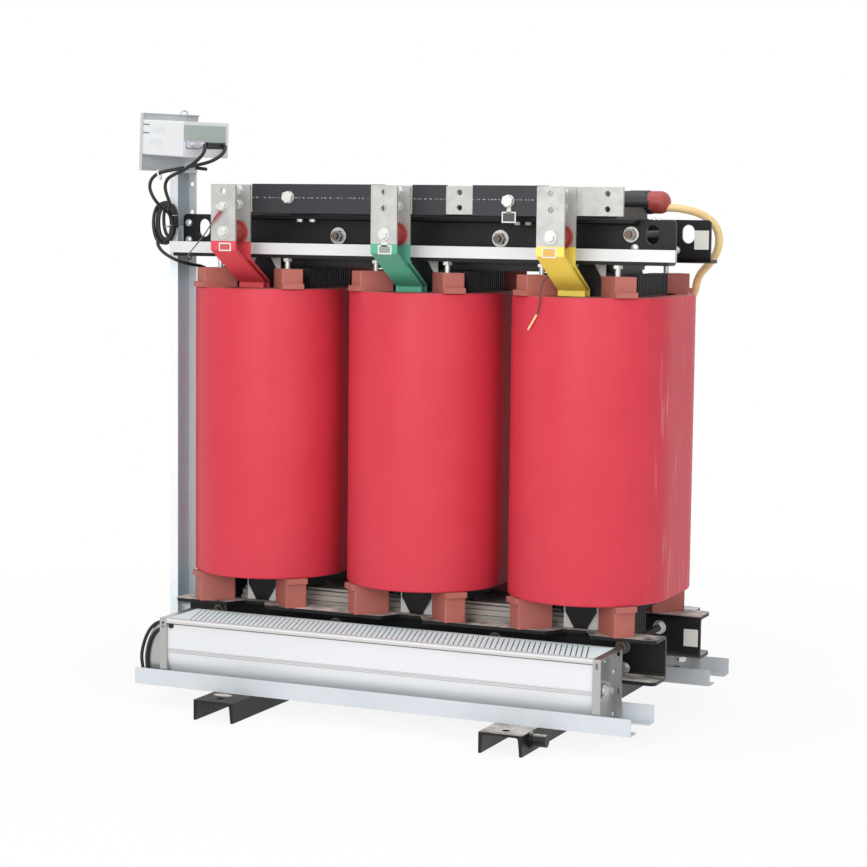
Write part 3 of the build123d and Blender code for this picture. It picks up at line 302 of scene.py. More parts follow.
# Paper: matt off-white, its fibres drawn at 1.7 mm so that they show as a faint mottle.
label_paper, tree, shader = new_material("bare_paper_label")
place = node(tree, "ShaderNodeTexCoord").outputs["Object"]
fibre = node(tree, "ShaderNodeTexNoise", Vector=place, Scale=600.0, Detail=3.0).outputs["Fac"]
tone = node(
    tree, "ShaderNodeMix", rgba, Factor=fibre, _6=linear("#E4E3DE"), _7=linear("#D2D0C9")
).outputs[2]
tree.links.new(tone, shader.inputs["Base Color"])
shader.inputs["Roughness"].default_value = 0.7
labels = [
    plate(oblong(34, 43, 1.0), spot(587, 125, 1087), along, upright, 0.4),
    plate(oblong(34, 40, 1.0), spot(583, 125, 173), along, upright, 0.4),
]
piece("clamp_labels", labels, label_paper)

# Rails, post and tray: folded and rolled steel sections, bolted to the skids and the top
# clamp. They are hot-dip galvanised, so the zinc shows a faint crystal spangle about ten
# millimetres across and dulls to a blue grey.


def zinc(name, light, dark, metal, rough, inner=()):
    """Galvanised steel: cells of slightly different grey and gloss, with cloudy patches, and
    where inner colours are given, painted light on the faces that look to the coils: a cyan
    tint below the coils' tops that cancels the red light the coils throw there, and painted shade, a darker
    grey, above them."""
    made, tree, shader = new_material(name)
    place = node(tree, "ShaderNodeTexCoord").outputs["Object"]
    cells = node(tree, "ShaderNodeTexVoronoi", Vector=place, Scale=95.0).outputs["Color"]
    shade = node(tree, "ShaderNodeSeparateColor", Color=cells).outputs[0]
    cloud = node(tree, "ShaderNodeTexNoise", Vector=place, Scale=9.0, Detail=5.0).outputs["Fac"]
    mix = node(tree, "ShaderNodeMath", times_plus, _0=shade, _1=0.16, _2=cloud).outputs[0]
    share = node(tree, "ShaderNodeMapRange", Value=mix, From_Min=0.35, From_Max=0.85).outputs[0]
    tint = node(tree, "ShaderNodeMix", rgba, Factor=share, _6=linear(light), _7=linear(dark)).outputs[2]
    # Painted light: a cyan tint on faces that look to the coils, cancelling their red light, turning to
    # painted shade, a darker grey, above the coils' tops.
    if inner:
        normal = node(tree, "ShaderNodeNewGeometry").outputs["Normal"]
        inward = node(tree, "ShaderNodeSeparateXYZ", Vector=normal).outputs["X"]
        painted_light_share = node(tree, "ShaderNodeMapRange", Value=inward, From_Min=0.3, From_Max=0.8).outputs[0]
        height = node(tree, "ShaderNodeSeparateXYZ", Vector=place).outputs["Z"]
        over = node(tree, "ShaderNodeMapRange", Value=height, From_Min=0.96, From_Max=1.02).outputs[0]
        facing = node(
            tree, "ShaderNodeMix", rgba, Factor=over, _6=linear(inner[0]), _7=linear(inner[1])
        ).outputs[2]
        tint = node(tree, "ShaderNodeMix", rgba, Factor=painted_light_share, _6=tint, _7=facing).outputs[2]
    tree.links.new(tint, shader.inputs["Base Color"])
    shader.inputs["Metallic"].default_value = metal
    gloss = node(
        tree, "ShaderNodeMapRange", Value=shade, To_Min=rough - 0.04, To_Max=rough + 0.05
    ).outputs[0]
    tree.links.new(gloss, shader.inputs["Roughness"])
    return made


rail_zinc = zinc("galvanised_rail", "#CDD3D8", "#C5CCD2", 0.05, 0.45)
dress(rail_zinc, "fan_rails_front", "fan_rails_rear")
# The post's faces that look to the coils get painted light: a cyan tint, then painted shade above the
# coils' tops.
post_zinc = zinc("galvanised_post", "#EAF1F5", "#E2E9EE", 0.0, 0.5, ("#CCF6FE", "#AEB9C0"))
dress(post_zinc, "controller_post")
dress(zinc("galvanised_sheet", "#C6CBCF", "#B9BFC4", 0.05, 0.45), "controller_tray")

# Core: stacked grain-oriented steel sheets under a thin dark lacquer, pressed between the
# clamps. The sheet edges show as fine lines along the yokes and the limbs, and the lower
# yoke is grey with dust.


def laminations(name, colour, edge, top_colour):
    """Lacquered sheet stack: fine bands across the stack, two millimetres so that they show,
    and on faces that look up a film of another colour, broken at the steps between packets
    of 19 mm."""
    made, tree, shader = new_material(name)
    across = {"bands_direction": "Y"}
    place = node(tree, "ShaderNodeTexCoord").outputs["Object"]
    bands = node(
        tree, "ShaderNodeTexWave", across, Vector=place, Scale=160.0, Distortion=1.5, Detail=2.0
    ).outputs["Fac"]
    cloud = node(tree, "ShaderNodeTexNoise", Vector=place, Scale=22.0, Detail=4.0).outputs["Fac"]
    share = node(tree, "ShaderNodeMath", times, _0=bands, _1=cloud).outputs[0]
    tint = node(tree, "ShaderNodeMix", rgba, Factor=share, _6=linear(colour), _7=linear(edge)).outputs[2]
    normal = node(tree, "ShaderNodeNewGeometry").outputs["Normal"]
    up = node(tree, "ShaderNodeSeparateXYZ", Vector=normal).outputs["Z"]
    flat = node(tree, "ShaderNodeMapRange", Value=up, From_Min=0.5, From_Max=0.9).outputs[0]
    steps = node(
        tree, "ShaderNodeTexWave", across, Vector=place, Scale=16.5, Distortion=0.4, Detail=1.0
    ).outputs["Fac"]
    packet = node(
        tree, "ShaderNodeMapRange", Value=steps, From_Min=0.08, From_Max=0.35, To_Max=0.95
    ).outputs[0]
    film = node(tree, "ShaderNodeMath", times, _0=flat, _1=packet).outputs[0]
    tint = node(tree, "ShaderNodeMix", rgba, Factor=film, _6=tint, _7=linear(top_colour)).outputs[2]
    tree.links.new(tint, shader.inputs["Base Color"])
    shader.inputs["Roughness"].default_value = 0.45
    bump = node(tree, "ShaderNodeBump", Height=bands, Strength=0.2, Distance=0.0005).outputs[0]
    tree.links.new(bump, shader.inputs["Normal"])
    return made


dress(laminations("lacquered_sheet_stack", "#1E1E21", "#3A3836", "#DDD7CD"), "core_limbs")
dress(laminations("dusty_sheet_stack", "#B4AFA7", "#8C8780", "#36332F"), "core_bottom_yoke")
dress(laminations("wiped_sheet_stack", "#1E1E21", "#3A3836", "#8A857D"), "core_top_yoke")

# Insulating boards and edge strip: white glass-mat board sawn to size and slid in beside the
# limbs, and a white extruded strip that is pushed on to the front top clamp's edge.


def moulding(name, colour, shade, rough, grain, strength=0.12, dusty=None):
    """Moulded or cast plastic: faint cloudy tone and a fine surface grain of that many
    millimetres, and where a dust colour is given, a film of it on faces that look up."""
    made, tree, shader = new_material(name)
    place = node(tree, "ShaderNodeTexCoord").outputs["Object"]
    cloud = node(
        tree, "ShaderNodeTexNoise", Vector=place, Scale=7.0, Detail=5.0, Roughness=0.6
    ).outputs["Fac"]
    share = node(tree, "ShaderNodeMapRange", Value=cloud, From_Min=0.3, From_Max=0.7).outputs[0]
    tint = node(tree, "ShaderNodeMix", rgba, Factor=share, _6=linear(colour), _7=linear(shade)).outputs[2]
    if dusty:
        normal = node(tree, "ShaderNodeNewGeometry").outputs["Normal"]
        up = node(tree, "ShaderNodeSeparateXYZ", Vector=normal).outputs["Z"]
        film = node(
            tree, "ShaderNodeMapRange", Value=up, From_Min=0.7, From_Max=0.98, To_Max=0.75
        ).outputs[0]
        tint = node(tree, "ShaderNodeMix", rgba, Factor=film, _6=tint, _7=linear(dusty)).outputs[2]
    tree.links.new(tint, shader.inputs["Base Color"])
    shader.inputs["Roughness"].default_value = rough
    fine = node(tree, "ShaderNodeTexNoise", Vector=place, Scale=1000.0 / grain, Detail=2.0).outputs["Fac"]
    bump = node(tree, "ShaderNodeBump", Height=fine, Strength=strength, Distance=0.0005).outputs[0]
    tree.links.new(bump, shader.inputs["Normal"])
    return made


# The board is matt and faintly fibrous, the strip smooth with a soft gloss.
dress(moulding("glass_mat_board", "#F4F4F1", "#EAE9E5", 0.7, 1.5), "insulating_boards")
dress(moulding("extruded_white_plastic", "#E4E5E6", "#DEDFE0", 0.4, 3.0, 0.05), "edge_strip")

# Support blocks and standoffs: pressed from glass-filled polyester, brown red. The blocks,
# wedged between clamps and coils, are matt and dusty; the standoffs, bolted between the bars,
# and the link's caps and saddles keep a gloss from the mould.
block_resin = moulding("moulded_polyester", "#B2675C", "#A65D53", 0.62, 1.2, 0.15, "#AC8077")
dress(block_resin, "bottom_support_blocks", "top_support_blocks")
cap_resin = moulding("gloss_polyester", "#A8443F", "#9C3B38", 0.4, 1.5, 0.08)
dress(cap_resin, "standoff_insulators", "hv_link_caps", "hv_link_saddles")

# Coils: high-voltage windings vacuum-cast in red filled epoxy in a steel mould, so the
# skin is smooth with a soft gloss, with a pale sheen painted in upright streaks at the right
# coil's end; the low-voltage foil coils inside are lacquered, with ribbed duct boards at their ends.
phases = {"left": -402.0, "centre": 0.0, "right": 402.0}
coil_red = moulding("cast_red_epoxy", "#CE3B4B", "#C83646", 0.45, 2.0, 0.03, "#A66E66")
tree = coil_red.node_tree
shader = tree.nodes["Principled BSDF"]
shader.inputs["Specular IOR Level"].default_value = 0.26
tint = shader.inputs["Base Color"].links[0].from_socket
place = node(tree, "ShaderNodeTexCoord").outputs["Object"]
# Painted sheen: upright pale streaks, about 40 mm along, 18 mm across and 200 mm tall, only at the
# right coil's end, standing in for the reflection of the bright surroundings.
run = node(tree, "ShaderNodeMapping", Vector=place, Scale=(25.0, 55.0, 5.0)).outputs[0]
sheen_noise = node(tree, "ShaderNodeTexNoise", Vector=run, Scale=1.0, Detail=6.0, Roughness=0.65).outputs["Fac"]
sheen_streak = node(
    tree, "ShaderNodeMapRange", Value=sheen_noise, From_Min=0.56, From_Max=0.72, To_Max=0.4
).outputs[0]
edge = node(tree, "ShaderNodeSeparateXYZ", Vector=place).outputs["X"]
side = node(tree, "ShaderNodeMapRange", Value=edge, From_Min=0.590, From_Max=0.606).outputs[0]
# The pale streaks mixed in here are a painted sheen on the right coil's edge.
wear_and_sheen = node(tree, "ShaderNodeMath", times, _0=sheen_streak, _1=side).outputs[0]
tint = node(tree, "ShaderNodeMix", rgba, Factor=wear_and_sheen, _6=tint, _7=linear("#DDB0B0")).outputs[2]
tree.links.new(tint, shader.inputs["Base Color"])
# The foil coils' lacquer is dark red brown, and the duct boards are a plain matt black.
dress(moulding("lacquered_foil_coil", "#5A241E", "#43201C", 0.5, 2.0, 0.12, "#7A625A"), "lv_coils")
duct_board = moulding("black_duct_board", "#1B1B1C", "#131314", 0.6, 1.5)


def ribbed(wall):
    """Plan of an end board along that wall: square ribs every 12 mm on its outer face, given
    by the sign of a sine, and a plain inner face."""
    outer, rib, rib_pitch, inner = 113, 1.8, 12, 78
    ribs = outer + rib * np.sign(np.sin(wall * 2 * np.pi / rib_pitch))
    return np.r_[np.c_[ribs, wall], [(inner, wall[-1]), (inner, wall[0])]]


wall = np.linspace(-108, 108, 217)
front_half = wall[:109]
ducts = [
    plate(ribbed(wall) * (side, 1), spot(x, 0, low), along, back, rise)
    for x in phases.values() for side in (-1, 1) for low, rise in ((964, 47), (257, 35))
]
for x, side in ((phases["left"], -1), (phases["right"], 1)):
    ducts.append(plate(ribbed(front_half) * (side, 1), spot(x, 0, 205), along, back, 52))
piece("coil_end_ducts", ducts, duct_board)


def stadium_ring(x, half_straight, profile):
    """Profile of (radius, height) carried round a stadium: each point turns about the nearer
    arc centre, and the two half turns are joined by the straight sides."""
    steps = 73
    turn = np.concatenate([np.linspace(0, np.pi, steps), np.linspace(np.pi, 2 * np.pi, steps)])
    centre = np.repeat([half_straight, -half_straight], steps)
    radius, height = np.array(profile).T
    px = x + np.cos(turn)[:, None] * radius
    py = centre[:, None] + np.sin(turn)[:, None] * radius
    pz = np.broadcast_to(height, px.shape)
    return np.stack([px, py, pz], -1), grid_faces(2 * steps, len(profile), True, True)


coil_section = rounded([(0.140, 0.292), (0.184, 0.292), (0.184, 0.964), (0.140, 0.964)], 0.005)
for name, x in phases.items():
    ring = stadium_ring(spot(x, 0, 0)[0], 0.068, coil_section)
    pad = plate(oblong(96, 300, 5), spot(x, 236, 628), (-1, 0, 0), upright, 28)
    boss = plate(oblong(34, 34, 3), spot(x + 65, 220, 943), (-1, 0, 0), upright, 68)
    cast = piece(f"cast_coil_{name}", [ring, pad, boss], coil_red, 50.0)
    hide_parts(f"hv_coil_{name}")

# Leads and neutral bar: flat bar, bent at the foot, tinned by dipping, so that it has a dull,
# faintly mottled skin. The feet of each phase are brush-painted in its colour up to just
# above the bend.
beyond = {"operation": "GREATER_THAN"}


def tinned_bar(name, paints=(), paint_top=0.0):
    """Tinned bar with a mottle of about 30 mm, and paint below a height, in a colour for each
    phase from the left where more than one is given."""
    made, tree, shader = new_material(name)
    place = node(tree, "ShaderNodeTexCoord").outputs["Object"]
    cloud = node(
        tree, "ShaderNodeTexNoise", Vector=place, Scale=34.0, Detail=6.0, Roughness=0.7
    ).outputs["Fac"]
    share = node(tree, "ShaderNodeMapRange", Value=cloud, From_Min=0.3, From_Max=0.7).outputs[0]
    tin = node(
        tree, "ShaderNodeMix", rgba, Factor=share, _6=linear("#C0C0BD"), _7=linear("#ABABA7")
    ).outputs[2]
    gloss = node(tree, "ShaderNodeMapRange", Value=cloud, To_Min=0.38, To_Max=0.6).outputs[0]
    tree.links.new(gloss, shader.inputs["Roughness"])
    if not paints:
        tree.links.new(tin, shader.inputs["Base Color"])
        shader.inputs["Metallic"].default_value = 0.4
        return made
    axes = node(tree, "ShaderNodeSeparateXYZ", Vector=place).outputs
    colour = linear(paints[0])
    between_phases = (-0.175, 0.227)
    for edge, paint in zip(between_phases, paints[1:]):
        past = node(tree, "ShaderNodeMath", beyond, _0=axes["X"], _1=edge).outputs[0]
        colour = node(tree, "ShaderNodeMix", rgba, Factor=past, _6=colour, _7=linear(paint)).outputs[2]
    bare = node(tree, "ShaderNodeMath", beyond, _0=axes["Z"], _1=paint_top).outputs[0]
    tint = node(tree, "ShaderNodeMix", rgba, Factor=bare, _6=colour, _7=tin).outputs[2]
    tree.links.new(tint, shader.inputs["Base Color"])
    metal = node(tree, "ShaderNodeMath", times, _0=bare, _1=0.5).outputs[0]
    tree.links.new(metal, shader.inputs["Metallic"])
    return made


phase_paints = ("#D5444F", "#54A88B", "#EFD85A")
dress(tinned_bar("tinned_bar"), "neutral_bar")
dress(tinned_bar("tinned_bar_painted_feet", phase_paints, 1.072), "neutral_leads")
for name, paint in zip(phases, phase_paints):
    dress(tinned_bar(f"tinned_bar_painted_{name}", (paint,), 1.073), f"phase_bar_{name}")

# Sleeves and link: black heat-shrink tubing, shrunk over the bars with hot air. The neutral
# bar's has a broken white line printed along it.
below = {"operation": "LESS_THAN"}
within = {"operation": "COMPARE"}


def heat_shrink(name, line_height=0.0):
    """Black tubing with a faint satin skin; a white line of uneven dashes at a height, on
    the front face, where one is given."""
    made = moulding(name, "#22242A", "#1B1D22", 0.42, 2.0, 0.08)
    if not line_height:
        return made
    half_line, dashes_per_metre, front_face, ink = 0.0011, 150.0, -0.2385, 0.42
    tree = made.node_tree
    shader = tree.nodes["Principled BSDF"]
    tint = shader.inputs["Base Color"].links[0].from_socket
    place = node(tree, "ShaderNodeTexCoord").outputs["Object"]
    axes = node(tree, "ShaderNodeSeparateXYZ", Vector=place).outputs
    off = node(tree, "ShaderNodeMath", {"operation": "SUBTRACT"}, _0=axes["Z"], _1=line_height).outputs[0]
    near = node(tree, "ShaderNodeMath", within, _0=off, _1=0.0, _2=half_line).outputs[0]
    length = node(tree, "ShaderNodeMath", times, _0=axes["X"], _1=dashes_per_metre).outputs[0]
    dash = node(
        tree, "ShaderNodeTexNoise", {"noise_dimensions": "1D"}, W=length, Scale=1.0, Detail=2.0
    ).outputs["Fac"]
    shown = node(tree, "ShaderNodeMath", beyond, _0=dash, _1=0.52).outputs[0]
    facing = node(tree, "ShaderNodeMath", below, _0=axes["Y"], _1=front_face).outputs[0]
    mask = node(tree, "ShaderNodeMath", times, _0=near, _1=shown).outputs[0]
    mask = node(tree, "ShaderNodeMath", times, _0=mask, _1=facing).outputs[0]
    mask = node(tree, "ShaderNodeMath", times, _0=mask, _1=ink).outputs[0]
    lined = node(tree, "ShaderNodeMix", rgba, Factor=mask, _6=tint, _7=linear("#D8D8D8")).outputs[2]
    tree.links.new(lined, shader.inputs["Base Color"])
    return made


dress(heat_shrink("printed_heat_shrink", 1.172), "neutral_sleeves")
sleeve_black = heat_shrink("heat_shrink_tube")
dress(sleeve_black, "hv_link_bar")

# Tape: black insulating tape, wound by hand over the link's end and the edge of its cap and
# torn off raggedly. The torn edge is a sum of two sines with one step where the end lies.
around = 72
turn = np.linspace(0, 2 * np.pi, around + 1)[:-1]
torn = 452 + 3 * np.sin(5 * turn) + 2 * np.sin(13 * turn + 1.0) + 9 * (np.sin(turn) < 0.1)
under_side, upper_side = 26.1, 27.2
loops = [
    (np.full(around, 408.0), under_side),
    (np.full(around, 409.0), upper_side),
    (torn - 1, upper_side),
    (torn, under_side),
]
tape = np.stack([
    spot(0, 150, 1171) + np.stack([x, r * np.cos(turn), r * np.sin(turn)], -1) / 1000 for x, r in loops
])
piece("torn_tape", [(tape, grid_faces(len(loops), around, True, True))], sleeve_black)

# Rods, nuts and press bolts: steel rods with rolled threads of two millimetres that pull the
# clamps together. The upper ones are zinc plated, the lower ones blackened, and the coils'
# tap studs and their links are brass.


def plated(name, colour, rough, metal=0.85, cloudy=0.08):
    """Plated steel: a light metal with gloss in faint clouds of about 8 mm."""
    made, tree, shader = new_material(name)
    place = node(tree, "ShaderNodeTexCoord").outputs["Object"]
    cloud = node(tree, "ShaderNodeTexNoise", Vector=place, Scale=120.0, Detail=3.0).outputs["Fac"]
    gloss = node(
        tree, "ShaderNodeMapRange", Value=cloud, To_Min=rough - cloudy, To_Max=rough + cloudy
    ).outputs[0]
    tree.links.new(gloss, shader.inputs["Roughness"])
    shader.inputs["Base Color"].default_value = linear(colour)
    shader.inputs["Metallic"].default_value = metal
    return made


zinc_plate = plated("zinc_plate", "#D4D5D2", 0.36, 0.6)
dress(zinc_plate, "press_bolts")
# A rod is dark between the clamps; outwards come a bright washer on the upper rods, the nut,
# and the rusty stud end, told apart by their distance from the middle plane.
middle_height, nut_from, washer_to, stud_from = 0.6, 0.1325, 0.1362, 0.1492
rod_steel = plated("threaded_steel", "#D4D5D2", 0.42, 0.5)
tree = rod_steel.node_tree
shader = tree.nodes["Principled BSDF"]
place = node(tree, "ShaderNodeTexCoord").outputs["Object"]
axes = node(tree, "ShaderNodeSeparateXYZ", Vector=place).outputs
high = node(tree, "ShaderNodeMath", beyond, _0=axes["Z"], _1=middle_height).outputs[0]
out = node(tree, "ShaderNodeMath", {"operation": "ABSOLUTE"}, _0=axes["Y"]).outputs[0]
nut = node(tree, "ShaderNodeMath", beyond, _0=out, _1=nut_from).outputs[0]
stud = node(tree, "ShaderNodeMath", beyond, _0=out, _1=stud_from).outputs[0]
tint = node(tree, "ShaderNodeMix", rgba, Factor=high, _6=linear("#8A847B"), _7=linear("#93938F")).outputs[2]
low = node(tree, "ShaderNodeMath", below, _0=out, _1=washer_to).outputs[0]
washer = node(tree, "ShaderNodeMath", times, _0=low, _1=high).outputs[0]
tint = node(tree, "ShaderNodeMix", rgba, Factor=washer, _6=tint, _7=linear("#DEDEDA")).outputs[2]
tint = node(tree, "ShaderNodeMix", rgba, Factor=nut, _6=linear("#3A3835"), _7=tint).outputs[2]
tint = node(tree, "ShaderNodeMix", rgba, Factor=stud, _6=tint, _7=linear("#6E5B50")).outputs[2]
tree.links.new(tint, shader.inputs["Base Color"])
thread = node(tree, "ShaderNodeTexWave", {"bands_direction": "Y"}, Vector=place, Scale=157.0).outputs["Fac"]
bump = node(tree, "ShaderNodeBump", Height=thread, Strength=0.5, Distance=0.001).outputs[0]
tree.links.new(bump, shader.inputs["Normal"])
dress(rod_steel, "clamp_rods")
# Turned brass is a warm yellow metal with a clear gloss.
stud_brass = plated("turned_brass", "#C99B4B", 0.3)
dress(stud_brass, "hv_tap_studs")
links = [plate(oblong(70, 20, 6), spot(x, 264, 602), (-1, 0, 0), upright, 4) for x in phases.values()]
piece("tap_links", links, stud_brass)

# Bolts, nuts and washers: cold-formed steel, zinc plated. Hexagon screws with flat washers
# hold the bars, the neutral bar on its brackets and the clamps; low crowns stand for the
# smaller screws.
front, down = (0, -1, 0), (0, 0, -1)


def turned(profile, base, axis, sides=28, spin=0.0):
    """Profile of (radius, height) in millimetres turned about an axis through the base; six
    sides make a hexagon, whose radius is to its corners."""
    axis = np.asarray(axis, float)
    first = np.cross(axis, (0.0, 0.0, 1.0) if abs(axis[2]) < 0.9 else (1.0, 0.0, 0.0))
    first = first / np.linalg.norm(first)
    second = np.cross(axis, first)
    angle = np.linspace(0, 2 * np.pi, sides + 1)[:-1] + spin
    round_way = np.cos(angle)[:, None] * first + np.sin(angle)[:, None] * second
    radius, height = np.array(profile, float).T / 1000
    spots = base + radius[:, None, None] * round_way[None] + height[:, None, None] * axis
    return spots, grid_faces(len(profile), sides, False, True)


def hex_screw(base, axis, flats, height, washer, thick, spin=0.2):
    """Hexagon head with a chamfered crown on a flat washer of that radius and thickness."""
    corner = flats / 3**0.5
    seat = np.asarray(base) + np.asarray(axis, float) * thick / 1000
    head = [(0, 0), (corner, 0), (corner, height - 1.2), (corner * 0.86, height), (0, height)]
    ring = [(0, 0), (washer, 0), (washer, thick - 0.5), (washer - 0.5, thick), (0, thick)]
    return [turned(ring, base, axis), turned(head, seat, axis, 6, spin)]


screws = []
broad_washer = [(0, 0), (20, 0), (20, 2.7), (19.3, 3.4), (0, 3.4)]
for x in (-201.0, 201.0):
    for side in (-1, 1):
        screws.append(turned(broad_washer, spot(x, 133 * side, 1086), (0, side, 0), 36))
for x in (-507.0, 507.0):
    screws += hex_screw(spot(x, 125, 192), front, 24, 12, 16, 3)
    screws += hex_screw(spot(x, -125, 192), back, 24, 12, 16, 3)
bar_bolts = (-404.0, -3.0, 387.0)
for x in bar_bolts:
    screws += hex_screw(spot(x, -313, 1093), front, 20, 8, 15, 2.5, 0.4)
for x in bar_bolts:
    for z in (1188, 1155):
        screws += hex_screw(spot(x + 2, -245, z), front, 19, 8, 12, 2.5, 0.1)
for x, z in ((-275.0, 1173), (262.0, 1169)):
    screws += hex_screw(spot(x, -241, z), front, 24, 10, 14, 3, 0.3)
screws += hex_screw(spot(-404, -313, 1150.5), front, 17, 9, 11, 4, 0.5)
screws += hex_screw(spot(511, -133, 144), front, 19, 9, 13, 2.5, 0.2)
for x, y, z, axis, size in (
    (-596, -133, 1111, front, 9),
    (-596, -133, 1071, front, 9),
    (516, -133, 1071, front, 9),
    (528, 125, 1063, front, 9),
    (557, -129, 1132, upright, 4),
    (568, -129, 1132, upright, 4),
):
    crown = [(0, 0), (size, 0), (size, 2), (size * 0.8, 5), (size * 0.4, 6), (0, 6.2)]
    screws.append(turned(crown, spot(x, y, z), axis))
bracket_nut = [(0, 0), (7.5, 0), (7.5, 6), (6.4, 7), (0, 7)]
for x in (-284, -252, 254, 280):
    screws.append(turned(bracket_nut, spot(x, -166, 1124), down, 6))
screws += hex_screw(spot(554, 150, 124), down, 19, 10, 13, 2.5)
piece("hexagon_screws", screws, zinc_plate, 25.0)

# Tags: thin white plastic plates with a coloured field, which is left bare. One is stuck on
# each phase bar below its bolt and one under the neutral bar's bolt, with two small white
# slips beside them.
tag_rims, tag_fields = [], []
for x, y, z, w, h in (
    (-399, -313, 1059.5, 31, 19),
    (0, -313, 1060, 33, 20),
    (385, -313, 1060, 33, 22),
    (263, -241, 1134, 33, 24),
):
    tag_rims.append(plate(oblong(w, h, 1.0), spot(x, y, z), along, upright, 0.8))
    tag_fields.append(plate(oblong(w - 6, h - 6, 0.5), spot(x, y - 0.8, z), along, upright, 0.25))
tag_rims.append(plate(oblong(15, 12, 4.0), spot(-1, -313, 1072), along, upright, 0.8))
waisted = rounded([(-6, -14), (6, -14), (4, -4), (7, 12), (-7, 12), (-4, -4)], 1.5)
tag_rims.append(plate(waisted, spot(263, -241, 1158), along, upright, 0.8))
piece("tag_plates", tag_rims, label_paper)
# Each field is a flat satin ink, a little uneven.
tag_inks = {}
for row, kind, name, colour, shade in (
    (1, "grey", "bare_tag_face", "#9AA19D", "#8C938F"),
    (2, "amber", "bare_amber_tag_face", "#DDB05E", "#D3A653"),
    (3, "dark", "bare_dark_tag_face", "#4A4C4E", "#414345"),
    (0, "red", "bare_red_tag_face", "#C9505B", "#C24853"),
):
    tag_inks[kind] = moulding(name, colour, shade, 0.55, 1.5)
    piece(f"tag_face_{kind}", [tag_fields[row]], tag_inks[kind])

# Fans: extruded aluminium casing with a bright satin skin, pressed outlet grille, stainless
# end plates with crossed screws, and a black grommet where the motor leads come out. They
# lie on the rails.


def satin_alloy(name, colour, marks):
    """Satin aluminium with a tint between two heights, or two distances from the middle, for
    each mark of (axis, from, to, colour, share)."""
    made = plated(name, colour, 0.42, 0.1)
    tree = made.node_tree
    shader = tree.nodes["Principled BSDF"]
    place = node(tree, "ShaderNodeTexCoord").outputs["Object"]
    axes = node(tree, "ShaderNodeSeparateXYZ", Vector=place).outputs
    tint = linear(colour)
    for axis, start, end, mark, share in marks:
        middle, half = (start + end) / 2, (end - start) / 2
        far = node(tree, "ShaderNodeMath", {"operation": "ABSOLUTE"}, _0=axes[axis]).outputs[0]
        near = node(tree, "ShaderNodeMath", within, _0=far, _1=middle, _2=half).outputs[0]
        part = node(tree, "ShaderNodeMath", times, _0=near, _1=share).outputs[0]
        tint = node(tree, "ShaderNodeMix", rgba, Factor=part, _6=tint, _7=linear(mark)).outputs[2]
    tree.links.new(tint, shader.inputs["Base Color"])
    return made


# Painted shade: a dark band under the casing's lip, two darker lines in its double ridge and
# darker bands along the grille's two edges. A taupe band tints the lip's top.
casing_tint_and_shade_bands = [
    ("Z", 0.1895, 0.1932, "#4C4945", 0.8),
    ("Z", 0.1932, 0.1985, "#B9B2AB", 0.6),
    ("Z", 0.1238, 0.1282, "#9C9894", 0.45),
    ("Z", 0.1298, 0.1342, "#9C9894", 0.45),
]
dress(satin_alloy("satin_aluminium", "#DCDFE2", casing_tint_and_shade_bands), "fan_casing_front", "fan_casing_rear")
# The grille's darker edge bands are painted shade, and its faint cyan base is painted light that cancels
# the red light the coils throw on it.
grille_shade_bands = [("Y", 0.3445, 0.358, "#C4C6C6", 0.9), ("Y", 0.21, 0.2265, "#B4B4B3", 0.6)]
grille_alloy = satin_alloy("satin_grille", "#DEF2F5", grille_shade_bands)
shader = grille_alloy.node_tree.nodes["Principled BSDF"]
shader.inputs["Metallic"].default_value = 0.0
shader.inputs["Specular IOR Level"].default_value = 0.0
dress(grille_alloy, "fan_grille_front", "fan_grille_rear")
# Folded stainless sheet is an even grey metal that mirrors softly.
stainless = plated("folded_stainless", "#B4B3B2", 0.3, 0.85, 0.02)
dress(stainless, "fan_end_plates_front", "fan_end_plates_rear")
screws = []
for y, z, size in ((-229, 154, 5.0), (-228, 60, 5.0), (-287, 187, 3.0)):
    recess = size * 0.2
    crown = [(0, 0), (size, 0), (size, 1), (size * 0.7, 2.4), (recess, 3), (recess, 2.2), (0, 2.2)]
    screws.append(turned(crown, spot(518, y, z), along, 16))
    screws.append(turned(crown, spot(518, -y, z), along, 16))
piece("end_plate_screws", screws, zinc_plate)
# Cable jacket and grommet are black rubber with a low sheen.
cable_rubber = moulding("black_cable_jacket", "#18191C", "#101113", 0.48, 1.2, 0.08)
ring = [(0, 0), (6.5, 0), (7, 1.5), (6, 3.5), (3, 4), (2.5, 2.5), (0, 2.5)]
grommets = [turned(ring, spot(-517, -351, 187), front), turned(ring, spot(-517, 351, 187), back)]
piece("grommets", grommets, cable_rubber)
dress(cable_rubber, "fan_cables")

# Leads that the object holds at both ends: a cream silicone lead from the link's cap to the
# right coil, and a thin red-brown sensing wire from the left bar. Both are extruded, smooth
# and faintly glossy.
lead_cream = moulding("cream_silicone", "#F4D59D", "#EBCA90", 0.45, 2.0, 0.05)
dress(lead_cream, "hv_lead")
dress(moulding("red_brown_wire", "#75544E", "#684843", 0.45, 1.0, 0.05), "sense_lead")

# Control unit: moulded white case on its tray, with clip slots and vents in its side and a
# blank printed panel over the connectors; grey sensor plug with thumb screws, black terminal
# block.
case_white = moulding("moulded_white_case", "#DCDEE0", "#D5D7D9", 0.5, 1.5, 0.06)
dress(case_white, "controller_case")
turn_in, lean = math.radians(70), math.radians(3)
tray_along = np.array([math.cos(turn_in), math.sin(turn_in), 0.0])
tray_out = np.array([
    math.sin(turn_in) * math.cos(lean), -math.cos(turn_in) * math.cos(lean), -math.sin(lean),
])
tray_up = np.cross(tray_out, tray_along)


def on_tray(u, v, w):
    """Place from millimetres along the tray, up it, and out from it."""
    return spot(-674.5, -231, 1232.5) + (u * tray_along + v * tray_up + w * tray_out) / 1000


